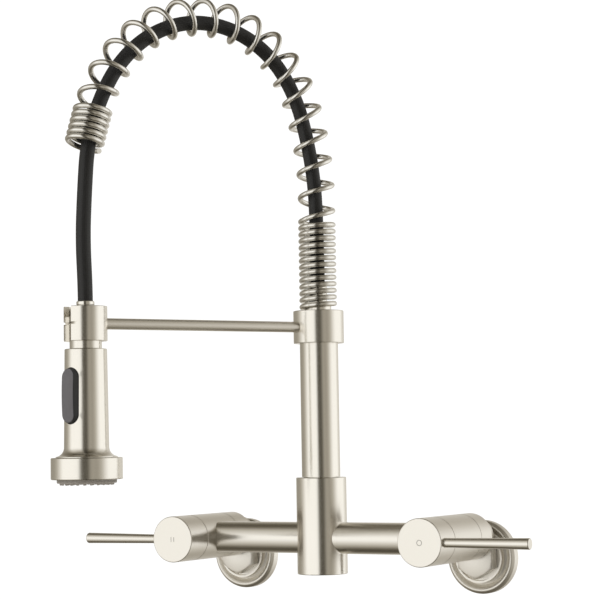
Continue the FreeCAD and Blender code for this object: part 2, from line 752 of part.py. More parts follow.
def dock_neck(name):
    """Hose connector that sits in the ring and swivels in the spray head."""
    groove = d.stem_radius - 1
    outline = [
        (4, d.stem_bottom), (d.stem_radius, d.stem_bottom), (d.stem_radius, 145), (groove, 145),
        (groove, 147), (d.stem_radius, 147), (d.stem_radius, d.head_top + 0.3),
        (d.neck_radius, d.head_top + 0.3), (d.neck_radius, d.arm_height - 1.2),
        (d.neck_radius - 1.1, d.arm_height - 1.2), (d.neck_radius - 1.1, d.arm_height + 1.2),
        (d.neck_radius, d.arm_height + 1.2), (d.neck_radius, d.neck_top), (5, d.neck_top),
        (5, 166.4), (4.6, 166.4), (4.6, 155.5), (4, 155.5),
    ]
    at_spray(turned(name, outline, [(0.6, [(d.neck_radius, d.neck_top)])]), name)


def dock_washer(name):
    at_spray(tube(name, 2.8, 4.9, 166.5, 168.3), name)


def dock_seal(name):
    ring = doc.addObject("Part::Torus", name)
    bind(ring, Radius1=d.stem_radius - 0.4, Radius2=0.55)
    node(put(ring, (SPRAY[0], SPRAY[1], 146)), name)


def check_valve(name):
    """Non-return capsule in the bore of the connector."""
    at_spray(turned(name, [(0, 155.8), (3.4, 155.8), (4.5, 158.5), (4.5, 166.2), (0, 166.2)]), name)


def pill(name, width, length, start, depth):
    """Upright slot-shaped tool on the toggle's side of the head, at its radius."""
    across = TOGGLE_OUT.multVec(Vector(0, 0, start))
    centre = (SPRAY[0] + across.x, SPRAY[1] + across.y, d.toggle_height)
    straight = length - width
    pieces = [box(name + "_middle", width, straight, depth, centre, TOGGLE_OUT)]
    for number, sign in enumerate((-1, 1)):
        end = (centre[0], centre[1], centre[2] + sign * straight / 2)
        pieces.append(cylinder(f"{name}_end_{number}", width / 2, depth, end, TOGGLE_OUT))
    return fused(name, pieces)


def head_shell(name):
    """Handle of the spray head: slim tapered tube that flares at its foot."""
    foot = d.bell_top + 0.1
    outline = [
        (12.7, foot), (21.3, foot), (21.3, foot + 0.5), (d.head_radius, d.head_waist),
        (d.head_top_radius, d.head_top), (9.4, d.head_top), (9.4, d.head_top - 2.2),
        (12.7, d.head_top - 2.2),
    ]
    shaped = [(6.5, [(d.head_radius, d.head_waist)]), (0.6, [(d.head_top_radius, d.head_top)])]
    blank = put(turned(name + "_blank", outline, shaped), (SPRAY[0], SPRAY[1], 0))
    slot = pill(name + "_slot", d.toggle_width + 0.8, d.toggle_length + 0.8, 9.5, 10)
    bore = pivot_bar(name + "_bore", d.pin_radius + d.running_gap, d.toggle_width + 3.4)
    node(cut(name, blank, [slot, bore]), name)


def spray_core(name):
    """Inner water way: swivel cup on top, spool bore, outlet flange below."""
    outline = [
        (d.spool_radius + 0.1, 80), (12.4, 80), (12.4, 84), (d.core_radius, 86),
        (d.core_radius, 138), (9.1, 139.5), (9.1, 151), (d.stem_radius + 0.3, 151),
        (d.stem_radius + 0.3, 140.6), (d.spool_radius + 0.1, 139),
    ]
    at_spray(turned(name, outline), name)


def diverter_spool(name):
    """Spool that the toggle shifts between stream and spray."""
    waist = d.spool_radius - 1.3
    low = d.toggle_height - 12
    high = d.toggle_height + 12
    outline = [
        (0, low), (d.spool_radius, low), (d.spool_radius, low + 5), (waist, low + 6.5),
        (waist, high - 6.5), (d.spool_radius, high - 5), (d.spool_radius, high), (0, high),
    ]
    at_spray(turned(name, outline), name)


def pivot_bar(name, radius, length):
    """A bar along the toggle's pivot line, level and across the toggle."""
    sideways = TOGGLE_OUT * Rotation(Vector(0, 1, 0), 90)
    centre = TOGGLE_OUT.multVec(Vector(0, 0, d.toggle_pivot.value))
    back = sideways.multVec(Vector(0, 0, 1)) * (as_size(length).value / -2)
    spot = (SPRAY[0] + centre.x + back.x, SPRAY[1] + centre.y + back.y, d.toggle_height)
    return cylinder(name, radius, length, spot, sideways)


def toggle_button(name):
    """Slot-shaped rocker with a long domed face and a bore for its pivot pin."""
    dome_radius = 200
    face = pill(name + "_face", d.toggle_width, d.toggle_length, 10.6, 8)
    dome = doc.addObject("Part::Cylinder", name + "_dome")
    bind(dome, Radius=dome_radius, Height=d.toggle_width + 4)
    sideways = TOGGLE_OUT * Rotation(Vector(0, 1, 0), 90)
    centre = TOGGLE_OUT.multVec(Vector(0, 0, d.toggle_crown.value - dome_radius))
    back = sideways.multVec(Vector(0, 0, 1)) * (-(d.toggle_width.value / 2 + 2))
    put(dome, (SPRAY[0] + centre.x + back.x, SPRAY[1] + centre.y + back.y, d.toggle_height), sideways)
    rocker = doc.addObject("Part::Common", name + "_rocker")
    rocker.Base = face
    rocker.Tool = dome
    bore = pivot_bar(name + "_bore", d.pin_radius + d.running_gap, d.toggle_width + 2)
    node(cut(name, rocker, [bore]), name)


def toggle_pin(name):
    node(pivot_bar(name, d.pin_radius, d.toggle_width + 3.2), name)


def spray_bell(name):
    """Wide lower cup of the spray head that holds the outlet plate."""
    outline = [
        (12.6, d.bell_top - 2.4), (12.6, d.bell_top), (d.bell_radius, d.bell_top),
        (d.bell_radius, d.bell_bottom), (d.bell_radius - 2.3, d.bell_bottom),
        (d.bell_radius - 2.3, d.bell_top - 2.4),
    ]
    rims = [(0.8, [(d.bell_radius, d.bell_top), (d.bell_radius, d.bell_bottom)])]
    at_spray(turned(name, outline, rims), name)


def outlet_plate(name):
    """Rigid plate behind the rubber face, with the centre stream's thread."""
    at_spray(tube(name, 6.4, d.bell_radius - 2.4, d.bell_bottom + 0.1, d.bell_bottom + 4), name)


def nozzle_face(name):
    """Rubber face with three rings of spray nozzles."""
    body = tube(name, 6.6, d.face_radius, d.face_bottom, d.bell_bottom)
    for ring, (radius, count) in enumerate(((10, 12), (14, 18), (18, 24))):
        sketch = sketch_on(body, "XY_Plane", f"{name}_spot_{ring}")
        sketch.AttachmentOffset = Placement(Vector(0, 0, d.face_bottom.value), Rotation())
        sketch.addGeometry(Part.Circle(Vector(radius, 0, 0), Vector(0, 0, 1), 0.9), False)
        sketch.addConstraint(Sketcher.Constraint("PointOnObject", 0, 3, -1))
        sketch.addConstraint(Sketcher.Constraint("DistanceX", -1, 1, 0, 3, radius))
        sketch.addConstraint(Sketcher.Constraint("Radius", 0, 0.9))
        nozzle = body.newObject("PartDesign::Pad", f"{name}_nozzle_{ring}")
        nozzle.Profile = sketch
        nozzle.Length = 1.3
        nozzle.Reversed = True
        pattern = body.newObject("PartDesign::PolarPattern", f"{name}_ring_{ring}")
        pattern.Originals = [nozzle]
        pattern.Axis = (sketch, ["N_Axis"])
        pattern.Angle = 360
        pattern.Occurrences = count
        body.Tip = pattern
        sketch.Visibility = False
    at_spray(body, name)


def stream_outlet(name):
    """Screwed stream former in the middle of the face."""
    outline = [
        (4.6, d.face_bottom - 0.4), (6.3, d.face_bottom - 0.4), (6.3, d.bell_bottom + 6),
        (2.4, d.bell_bottom + 6), (2.4, d.face_bottom + 1.4), (4.6, d.face_bottom + 1.4),
    ]
    at_spray(turned(name, outline), name)


def build():
    for kind, side in (("hot", -1), ("cold", 1)):
        valve_set(kind, side)
        bridge_pipe(f"{kind}_bridge_pipe", side)
    centre_body("centre_body")
    base_plug("base_plug")
    swivel_bush("swivel_bush")
    grub_screw("swivel_screw", (POST[0], POST[1] + 10.9, d.bush_start + 8), BACK, 10.9, 17.8)
    post("post")
    post_seals("post_seals")
    collar("collar")
    behind = ARM_OUT * Rotation(Vector(1, 0, 0), 180)
    grub_screw("collar_screw", arm_spot(-(d.post_radius + 0.1), d.arm_height), behind, 14.3, 18.2)
    arm("arm")
    holder_ring("holder_ring")
    post_ferrule("post_ferrule")
    spring("spring")
    hose("hose")
    spray_ferrule("spray_ferrule")
    dock_neck("dock_neck")
    dock_washer("dock_washer")
    dock_seal("dock_seal")
    check_valve("check_valve")
    head_shell("head_shell")
    spray_core("spray_core")
    diverter_spool("diverter_spool")
    toggle_button("toggle_button")
    toggle_pin("toggle_pin")
    spray_bell("spray_bell")
    outlet_plate("outlet_plate")
    nozzle_face("nozzle_face")
    stream_outlet("stream_outlet")


def check_and_export():
    """Refuse failed objects, then write each sub-part to its own file."""
    doc.recompute()
    for thing in doc.Objects:
        if "Invalid" in thing.State or "Error" in thing.State:
            raise RuntimeError(f"{thing.Label} failed: {thing.State}")
    os.makedirs("parts", exist_ok=True)
    for thing in nodes:
        if thing.Shape.isNull() or not thing.Shape.isValid():
            raise RuntimeError(f"{thing.Label} has no valid shape")
        print(f"{thing.Label}: {len(thing.Shape.Solids)} solid, {thing.Shape.Volume:.0f} mm3")
        thing.Shape.exportStep(f"parts/{thing.Label}.step")
    print(len(nodes), "nodes")


build()
check_and_export()
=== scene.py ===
# %% [markdown]
# # A wall-mounted bridge faucet with a spring arch
#
# The mechanical model comes in finished: every metal body, screw and seal already stands in its place and
# rides on the body that moves it. This lesson gives it its looks. It makes the pieces that a plain solid
# can't show well, such as the wound spring, the hose and the spray nozzles, and a finish for every surface.
# The frame stands in the wall plane, midway between the two water inlets: +X to the right, +Y into the wall,
# +Z up, in metres. Its box is taken here, and the floor is set below it.

# %% Load the frame
import json
import math

import bmesh
import bpy
from mathutils import Matrix, Vector


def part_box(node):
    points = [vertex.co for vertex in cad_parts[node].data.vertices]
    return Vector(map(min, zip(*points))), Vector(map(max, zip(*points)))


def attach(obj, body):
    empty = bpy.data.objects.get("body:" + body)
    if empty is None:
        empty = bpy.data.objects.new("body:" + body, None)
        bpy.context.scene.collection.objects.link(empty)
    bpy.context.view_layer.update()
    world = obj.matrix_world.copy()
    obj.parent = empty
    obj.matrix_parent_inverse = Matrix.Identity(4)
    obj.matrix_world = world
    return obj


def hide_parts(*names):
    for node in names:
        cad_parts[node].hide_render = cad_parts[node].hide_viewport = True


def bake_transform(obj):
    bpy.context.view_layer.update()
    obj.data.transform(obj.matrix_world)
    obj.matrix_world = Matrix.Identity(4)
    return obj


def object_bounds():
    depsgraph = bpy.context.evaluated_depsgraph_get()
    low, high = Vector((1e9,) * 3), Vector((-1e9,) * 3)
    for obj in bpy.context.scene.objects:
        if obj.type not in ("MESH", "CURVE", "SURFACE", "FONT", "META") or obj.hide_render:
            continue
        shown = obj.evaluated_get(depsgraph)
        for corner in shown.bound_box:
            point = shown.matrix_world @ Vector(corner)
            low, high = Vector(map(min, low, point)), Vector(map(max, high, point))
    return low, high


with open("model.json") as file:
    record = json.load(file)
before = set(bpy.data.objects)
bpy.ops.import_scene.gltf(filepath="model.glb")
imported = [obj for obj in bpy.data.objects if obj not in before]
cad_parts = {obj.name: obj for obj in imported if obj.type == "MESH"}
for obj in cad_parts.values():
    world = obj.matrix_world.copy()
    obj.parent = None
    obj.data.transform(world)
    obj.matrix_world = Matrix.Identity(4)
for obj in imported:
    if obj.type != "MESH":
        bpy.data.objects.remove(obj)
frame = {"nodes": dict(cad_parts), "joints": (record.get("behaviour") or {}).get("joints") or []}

MM = 0.001
cad_low, cad_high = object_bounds()
nodes_left = set(frame["nodes"])
print("frame size in mm", [round((high - low) / MM, 1) for low, high in zip(cad_low, cad_high)])

# %% [markdown]
# ## The camera
#
# A long lens from the right, a little above the bridge, keeps upright lines upright. A camera's own axes
# are right, up and backwards, so three vectors as the columns of a matrix turn it without any angles.

# %% Camera
LOOKS_FROM = Vector((0.6912, -1.32071, 0.09012))
LOOKS_ALONG = Vector((-0.490255, 0.868697, 0.07082)).normalized()
HEAD_UP = Vector((0.048964, -0.053675, 0.997357)).normalized()

lens = bpy.data.cameras.new("camera")
lens.lens = 116.04
lens.sensor_width = 36
lens.shift_x = 0.005
lens.clip_start = 0.05
lens.clip_end = 60
camera = bpy.data.objects.new("camera", lens)
bpy.context.scene.collection.objects.link(camera)
to_right = LOOKS_ALONG.cross(HEAD_UP).normalized()
true_up = to_right.cross(LOOKS_ALONG)
turn = Matrix((to_right, true_up, -LOOKS_ALONG)).transposed()
camera.matrix_world = Matrix.Translation(LOOKS_FROM) @ turn.to_4x4()
bpy.context.scene.camera = camera
print("camera is", round(LOOKS_FROM.length, 2), "m from the frame's origin")

# %% [markdown]
# ## Where the arm's plane lies
#
# The arm, the hose and the spring all lie in one upright plane that starts at the post. The post's axis is
# the middle of its box and the spray head's axis is the middle of the bell's box, so nothing is typed. A
# place in the plane is a distance out from the post and a height.

# %% The arm's plane
def middle(node):
    low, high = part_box(node)
    return (low + high) / 2


post_axis = middle("post")
spray_axis = middle("spray_bell")
OUT = Vector((spray_axis.x - post_axis.x, spray_axis.y - post_axis.y, 0)).normalized()
UP = Vector((0, 0, 1))
ORIGIN = Vector((0, 0, 0))
ASIDE = UP.cross(OUT)


def in_arm_plane(out_mm, height_mm):
    foot = Vector((post_axis.x, post_axis.y, 0))
    return foot + OUT * (out_mm * MM) + UP * (height_mm * MM)


print("the arm reaches", round((spray_axis - post_axis).dot(OUT) / MM, 2), "mm out from the post")

# %% [markdown]
# ## The hose
#
# A flexible hose leaves the top of the post, runs up inside the spring, over the arch and down to the spray
# head. It could be a curve with a round bevel, but it is made as a mesh tube, so the curve only gives the
# line. A quadratic NURBS spline glides inside its control points as a bent hose does. Read back as a mesh it
# gives points close together, and rings set square to that line make the tube. Each ring carries a UV place,
# around and along, for the fine weave of the rubber.

# %% Hose route
HOSE_ROUTE = [
    (0, 191.9), (0, 218), (0.3, 247.5), (1.5, 278.5), (6.9, 310.2), (16.5, 343), (36.1, 371.2),
    (66, 388.6), (100.2, 392.6), (132.9, 382), (159.2, 359.7), (176.3, 330.3), (186.2, 297.5),
    (188.7, 263.7), (190.3, 229.8), (188.7, 195.9), (188.7, 178.3),
]
HOSE_DIAMETER = 10.5 * MM


def read_spline(route):
    """The points of a smooth NURBS line that has the route's points as its control points."""
    line = bpy.data.curves.new("route", "CURVE")
    line.dimensions = "3D"
    line.resolution_u = 10
    spline = line.splines.new("NURBS")
    spline.points.add(len(route) - 1)
    for point, place in zip(spline.points, route):
        point.co = (*in_arm_plane(*place), 1)
    spline.order_u = 3
    spline.use_endpoint_u = True
    holder = bpy.data.objects.new("route", line)
    bpy.context.scene.collection.objects.link(holder)
    bpy.context.view_layer.update()
    read = bpy.data.meshes.new_from_object(holder.evaluated_get(bpy.context.evaluated_depsgraph_get()))
    places = [vertex.co.copy() for vertex in read.vertices]
    bpy.data.meshes.remove(read)
    bpy.data.objects.remove(holder)
    bpy.data.curves.remove(line)
    return places


hose_line = read_spline(HOSE_ROUTE)
hose_run = sum((b - a).length for a, b in zip(hose_line, hose_line[1:]))
print(len(hose_line), "places on the hose's line,", round(hose_run / MM, 1), "mm long")

# %% Mesh helpers
MERGE_DISTANCE = 1e-7


def new_piece(name, mesh):
    """A new object in the scene for a mesh."""
    piece = bpy.data.objects.new(name, mesh)
    bpy.context.scene.collection.objects.link(piece)
    return piece


def shaded(mesh, corner=32):
    """Smooth shading that keeps every edge sharper than the corner angle crisp."""
    mesh.shade_smooth()
    mesh.set_sharp_from_angle(angle=math.radians(corner))
    return mesh


def mesh_of(name, verts, faces, corner=32):
    """A clean mesh with its doubled points merged and its normals outward."""
    mesh = bpy.data.meshes.new(name)
    mesh.from_pydata(verts, [], faces)
    work = bmesh.new()
    work.from_mesh(mesh)
    bmesh.ops.remove_doubles(work, verts=work.verts, dist=MERGE_DISTANCE)
    bmesh.ops.recalc_face_normals(work, faces=work.faces)
    work.to_mesh(mesh)
    work.free()
    return shaded(mesh, corner)


def band(first, second, count):
    """The faces between two closed rings of points that start at these numbers."""
    return [(first + step, first + (step + 1) % count, second + (step + 1) % count, second + step)
            for step in range(count)]


print("mesh helpers are ready")

# %% Hose tube
HOSE_SIDES = 28


def tube_along(name, line, radius, around):
    """A closed round tube along a line, with a UV place of (turns around, metres along)."""
    verts = []
    side = ASIDE.copy()
    travels = [0.0]
    for number, place in enumerate(line):
        before = line[max(number - 1, 0)]
        after = line[min(number + 1, len(line) - 1)]
        heading = (after - before).normalized()
        side = (side - heading * side.dot(heading)).normalized()
        third = heading.cross(side)
        for step in range(around):
            angle = 2 * math.pi * step / around
            verts.append(place + (side * math.cos(angle) + third * math.sin(angle)) * radius)
        if number:
            travels.append(travels[-1] + (place - line[number - 1]).length)
    faces = []
    uvs = []
    for ring in range(len(line) - 1):
        faces += band(ring * around, (ring + 1) * around, around)
        for step in range(around):
            ends = ((step, ring), (step + 1, ring), (step + 1, ring + 1), (step, ring + 1))
            uvs.append([(turn / around, travels[row]) for turn, row in ends])
    faces.append(tuple(reversed(range(around))))
    faces.append(tuple(range((len(line) - 1) * around, len(line) * around)))
    uvs.append([(0, 0)] * around)
    uvs.append([(0, travels[-1])] * around)
    mesh = bpy.data.meshes.new(name)
    mesh.from_pydata(verts, [], faces)
    layer = mesh.uv_layers.new(name="along")
    for face, corners in zip(mesh.polygons, uvs):
        for loop, uv in zip(face.loop_indices, corners):
            layer.data[loop].uv = uv
    return shaded(mesh)


hose = new_piece("black_hose", tube_along("black_hose", hose_line, HOSE_DIAMETER / 2, HOSE_SIDES))
print("hose faces", len(hose.data.polygons))

# %% [markdown]
# ## Wiring nodes in words
#
# Materials, the studio and Geometry Nodes are all node trees, so one small class adds a node of any type:
# its settings first, then the values or links of its sockets. A second class wraps an output socket and
# overloads + - * /, so that a sum reads like a sum and adds its own Math nodes.

# %% Sums of sockets
class Wire:
    """An output socket that can be used in sums."""

    def __init__(self, nodes, socket):
        self.nodes = nodes
        self.socket = socket

    def maths(self, operation, *values):
        return self.nodes.add("ShaderNodeMath", {"operation": operation}, dict(enumerate(values)))

    def __add__(self, other):
        return self.maths("ADD", self, other)

    def __radd__(self, other):
        return self.maths("ADD", other, self)

    def __sub__(self, other):
        return self.maths("SUBTRACT", self, other)

    def __rsub__(self, other):
        return self.maths("SUBTRACT", other, self)

    def __mul__(self, other):
        return self.maths("MULTIPLY", self, other)

    def __rmul__(self, other):
        return self.maths("MULTIPLY", other, self)

    def __truediv__(self, other):
        return self.maths("DIVIDE", self, other)

    def at_most(self, other):
        return self.maths("MINIMUM", self, other)

    def at_least(self, other):
        return self.maths("MAXIMUM", self, other)

    def sine(self):
        return self.maths("SINE", self)

    def cosine(self):
        return self.maths("COSINE", self)

    def root(self):
        return self.maths("SQRT", self)


print("sockets can be used in sums")

# %% Adding nodes
class Nodes:
    """A node tree that is built by adding one node after another."""

    def __init__(self, tree):
        self.tree = tree

    def add(self, kind, settings=None, values=None, output=0):
        """Add a node, set it up, wire it and give back one of its outputs."""
        node = self.tree.nodes.new(kind)
        for name, setting in (settings or {}).items():
            if name == "stops":
                self.set_stops(node.color_ramp, setting)
            else:
                setattr(node, name, setting)
        for name, value in (values or {}).items():
            if isinstance(value, Wire):
                self.tree.links.new(value.socket, node.inputs[name])
            else:
                node.inputs[name].default_value = value
        return Wire(self, node.outputs[output]) if node.outputs else node

    @staticmethod
    def set_stops(ramp, stops):
        """Replace a colour ramp's stops by (place, colour) pairs."""
        while len(ramp.elements) > 1:
            ramp.elements.remove(ramp.elements[-1])
        for number, (place, colour) in enumerate(stops):
            stop = ramp.elements[0] if number == 0 else ramp.elements.new(place)
            stop.position = place
            stop.color = colour

    def parts_of(self, vector):
        """The three numbers of a vector."""
        node = self.tree.nodes.new("ShaderNodeSeparateXYZ")
        self.tree.links.new(vector.socket, node.inputs[0])
        return [Wire(self, output) for output in node.outputs]

    def vector(self, operation, first, second):
        """A Vector Math node of two vectors, or of a vector and the factor that scales it."""
        slot = 3 if operation == "SCALE" else 1
        return self.add("ShaderNodeVectorMath", {"operation": operation}, {0: first, slot: second})


print("nodes of any type can be added and wired")

# %% [markdown]
# ## The spring
#
# The arch is one wound wire: close coils above the post, open coils over the bow, close coils again at the
# free end. Drawn by hand, each coil would need thought. Geometry Nodes do it from sizes: they walk along
# the axis one small step of a turn at a time, with a pitch that depends on the turn, step sideways by the
# coil's radius and sweep a round wire along the result. The same tree with a tiny wire winds the pipe
# threads.

# %% Group helpers
def group_with(name, sockets):
    """A Geometry Nodes group with the named inputs, and the Nodes that build it."""
    group = bpy.data.node_groups.new(name, "GeometryNodeTree")
    face = group.interface
    face.new_socket("Geometry", in_out="INPUT", socket_type="NodeSocketGeometry")
    for label, kind in sockets:
        face.new_socket(label, in_out="INPUT", socket_type="NodeSocket" + kind)
    face.new_socket("Geometry", in_out="OUTPUT", socket_type="NodeSocketGeometry")
    nodes = Nodes(group)
    entry = group.nodes.new("NodeGroupInput")
    given = {socket.name: Wire(nodes, socket) for socket in entry.outputs if socket.name}
    return group, nodes, given


def close_group(nodes, geometry, material):
    """Make instances real, give them their finish and send them out."""
    solid = nodes.add("GeometryNodeRealizeInstances", {}, {"Geometry": geometry})
    smooth = nodes.add("GeometryNodeSetShadeSmooth", {}, {"Geometry": solid})
    dressed = nodes.add("GeometryNodeSetMaterial", {}, {"Geometry": smooth, "Material": material})
    nodes.add("NodeGroupOutput", {}, {"Geometry": dressed})


print("groups can be opened and closed")

# %% Coil tree
COIL_INPUTS = [
    ("Coil radius", "Float"), ("Wire radius", "Float"), ("Steps per turn", "Int"),
    ("Wire sides", "Int"), ("First turns", "Float"), ("First pitch", "Float"),
    ("Open turns", "Float"), ("Open pitch", "Float"), ("Last turns", "Float"),
    ("Last pitch", "Float"), ("Sideways", "Vector"), ("Finish", "Material"),
]
coil_group, coil, given = group_with("coil", COIL_INPUTS)
axis_curve = coil.add("GeometryNodeMeshToCurve", {}, {"Mesh": given["Geometry"]})
all_turns = given["First turns"] + given["Open turns"] + given["Last turns"]
steps = coil.add("GeometryNodeMeshLine", {}, {"Count": all_turns * given["Steps per turn"] + 1})
turns = coil.add("GeometryNodeInputIndex") / given["Steps per turn"]
past_first = (turns - given["First turns"]).at_least(0)
past_open = (past_first - given["Open turns"]).at_least(0)
travel = (turns.at_most(given["First turns"]) * given["First pitch"]
          + past_first.at_most(given["Open turns"]) * given["Open pitch"]
          + past_open * given["Last pitch"])
sampled = coil.tree.nodes.new("GeometryNodeSampleCurve")
sampled.mode = "LENGTH"
coil.tree.links.new(axis_curve.socket, sampled.inputs["Curves"])
coil.tree.links.new(travel.socket, sampled.inputs["Length"])
on_axis = Wire(coil, sampled.outputs["Position"])
heading = Wire(coil, sampled.outputs["Tangent"])
inward = coil.vector("CROSS_PRODUCT", given["Sideways"], heading)
phase = (turns - given["First turns"]) * (2 * math.pi)
inward_step = coil.vector("SCALE", inward, phase.cosine() * given["Coil radius"])
side_step = coil.vector("SCALE", given["Sideways"], phase.sine() * given["Coil radius"])
place = coil.vector("ADD", coil.vector("ADD", on_axis, inward_step), side_step)
wound = coil.add("GeometryNodeSetPosition", {}, {"Geometry": steps, "Position": place})
wire_line = coil.add("GeometryNodeMeshToCurve", {}, {"Mesh": wound})
section = coil.add("GeometryNodeCurvePrimitiveCircle", {"mode": "RADIUS"},
                   {"Resolution": given["Wire sides"], "Radius": given["Wire radius"]})
wire = coil.add("GeometryNodeCurveToMesh", {},
                {"Curve": wire_line, "Profile Curve": section, "Fill Caps": True})
close_group(coil, wire, given["Finish"])
print("coil tree has", len(coil_group.nodes), "nodes")

# %% [markdown]
# ## Running a tree
#
# A modifier's inputs are set by the identifiers of its sockets before the object is looked at. The result is
# read once as a plain mesh and the modifier goes with its holder, so nothing stays live in the scene.

# %% Run a tree
def grown(name, group, start_mesh, sizes, corner=40):
    """The plain mesh that a Geometry Nodes group makes from a starting mesh."""
    holder = new_piece(name + "_holder", start_mesh)
    modifier = holder.modifiers.new("grow", "NODES")
    modifier.node_group = group
    for item in group.interface.items_tree:
        if item.item_type == "SOCKET" and item.in_out == "INPUT" and item.name in sizes:
            modifier[item.identifier] = sizes[item.name]
    bpy.context.view_layer.update()
    graph = bpy.context.evaluated_depsgraph_get()
    mesh = bpy.data.meshes.new_from_object(holder.evaluated_get(graph))
    bpy.data.objects.remove(holder)
    mesh.name = name
    mesh.set_sharp_from_angle(angle=math.radians(corner))
    print(name, "has", len(mesh.polygons), "faces")
    return mesh


def polyline(name, places):
    """A mesh of edges from place to place."""
    mesh = bpy.data.meshes.new(name)
    mesh.from_pydata(places, [(number, number + 1) for number in range(len(places) - 1)], [])
    return mesh


print("a tree can be run on a line of places")

# %% [markdown]
# ## Finishes: satin nickel
#
# Most of the faucet is nickel plate that has been brushed to a satin. Brushing leaves fine scratches all in
# one direction, so the noise that stands for them is stretched: short across the brushing and long along
# it. The scratches change the roughness and lean the surface a hair's breadth; a slower cloud gives the
# faint hand marks that every satin plate shows. The plate is a warm white, not grey.

# %% Nickel finishes
def dressed_in(name, constants, changing):
    """A material: one Principled shader with constants, fed by what changes over the surface."""
    material = bpy.data.materials.new(name)
    material.use_nodes = True
    material.node_tree.nodes.clear()
    nodes = Nodes(material.node_tree)
    shader = nodes.add("ShaderNodeBsdfPrincipled", {}, {**constants, **changing(nodes)})
    nodes.add("ShaderNodeOutputMaterial", {}, {"Surface": shader})
    return material


def noise(nodes, place, scale, detail, roughness, stretch=(1, 1, 1)):
    """Cloudy noise between 0 and 1, stretched along the axes."""
    turned_place = nodes.add("ShaderNodeMapping", {}, {"Vector": place, "Scale": stretch})
    values = {"Vector": turned_place, "Scale": scale, "Detail": detail, "Roughness": roughness}
    return nodes.add("ShaderNodeTexNoise", {}, values)


def blend_of(nodes, factor, first, second):
    """A colour between two colours."""
    return nodes.add("ShaderNodeMix", {"data_type": "RGBA"}, {0: factor, 6: first, 7: second}, 2)


def bumped(nodes, height, distance):
    """A normal that leans with a height, in metres."""
    return nodes.add("ShaderNodeBump", {}, {"Height": height, "Distance": distance, "Strength": 1.0})


def object_place(nodes):
    return nodes.add("ShaderNodeTexCoord", output="Object")


def brushed_metal(name, light, dark, smooth, rough, stretch, scratch=0.000004):
    """Brushed metal plate between two tones and two roughnesses, scratched along one direction."""
    def changing(nodes):
        place = object_place(nodes)
        scratches = noise(nodes, place, 1.0, 5.0, 0.7, stretch)
        handling = noise(nodes, place, 38.0, 3.0, 0.5)
        cloud = noise(nodes, place, 9.0, 2.0, 0.5)
        tone = scratches * 0.55 + handling * 0.25 + cloud * 0.2
        roughness = smooth + (rough - smooth) * (scratches * 0.6 + handling * 0.4)
        return {
            "Base Color": blend_of(nodes, tone, (*dark, 1), (*light, 1)),
            "Roughness": roughness,
            "Normal": bumped(nodes, scratches, scratch),
        }
    return dressed_in(name, {"Metallic": 1.0, "IOR": 1.8}, changing)


NICKEL_LIGHT = (0.95, 0.922, 0.868)
NICKEL_DARK = (0.83, 0.80, 0.742)
nickel_upright = brushed_metal("satin_nickel_upright", NICKEL_LIGHT, NICKEL_DARK, 0.15, 0.27,
                               (2600, 2600, 40))
nickel_across = brushed_metal("satin_nickel_across", NICKEL_LIGHT, NICKEL_DARK, 0.19, 0.31,
                              (40, 2600, 2600))
nickel_valve = brushed_metal("satin_nickel_valve", NICKEL_LIGHT, NICKEL_DARK, 0.23, 0.36,
                             (2200, 40, 2200))
nickel_turned = brushed_metal("satin_nickel_turned", NICKEL_LIGHT, NICKEL_DARK, 0.33, 0.45,
                              (500, 2600, 500))
print("nickel finishes:", len(bpy.data.materials))

# %% [markdown]
# ## Finishes: the other metals
#
# The ferrules and the stub threads are plated but not brushed, so they mirror more. The spring is drawn
# wire, a little whiter, with fine draw marks. Screws are plain steel, and the cartridge and the spindle are
# turned brass whose tool left fine rings.

# %% Other metals
bright_nickel = brushed_metal("bright_nickel", (0.92, 0.90, 0.85), (0.84, 0.81, 0.75), 0.07, 0.15,
                              (700, 700, 700), 0.000002)
spring_wire = brushed_metal("spring_wire", (0.96, 0.945, 0.91), (0.80, 0.785, 0.75), 0.12, 0.26,
                            (900, 900, 900), 0.000006)
screw_steel = brushed_metal("screw_steel", (0.58, 0.58, 0.57), (0.42, 0.42, 0.42), 0.25, 0.40,
                            (1500, 1500, 1500), 0.000008)


def turned_brass(name):
    """Bare brass with the fine rings of a lathe tool."""
    def changing(nodes):
        place = object_place(nodes)
        rings = noise(nodes, place, 1.0, 3.0, 0.6, (60, 4200, 60))
        tarnish = noise(nodes, place, 70.0, 4.0, 0.6)
        return {
            "Base Color": blend_of(nodes, tarnish, (0.62, 0.42, 0.17, 1), (0.86, 0.66, 0.33, 1)),
            "Roughness": 0.22 + tarnish * 0.2,
            "Normal": bumped(nodes, rings, 0.00001),
        }
    return dressed_in(name, {"Metallic": 1.0}, changing)


raw_brass = turned_brass("turned_brass")
print("metals so far:", len(bpy.data.materials))

# %% [markdown]
# ## Finishes: rubber, plastics and ceramic
#
# Moulded parts carry the fine spark-eroded grain of their mould, so a small noise roughens and dents them.
# The hose is rubber extruded over a braid, and the crossed strands show through it. They follow the
# surface, so they read the UV place of the tube and not the room. The ceramic discs are lapped smooth.

# %% Moulded finishes
def moulded(name, light, dark, smooth, rough, grain, dent, constants=None):
    """Plastic, rubber or ceramic with a fine mould grain and slow changes of tone."""
    def changing(nodes):
        place = object_place(nodes)
        grainy = noise(nodes, place, grain, 2.0, 0.5)
        slow = noise(nodes, place, grain / 25, 3.0, 0.5)
        return {
            "Base Color": blend_of(nodes, slow * 0.7 + grainy * 0.3, (*dark, 1), (*light, 1)),
            "Roughness": smooth + (rough - smooth) * (grainy * 0.5 + slow * 0.5),
            "Normal": bumped(nodes, grainy, dent),
        }
    return dressed_in(name, constants or {"IOR": 1.5}, changing)


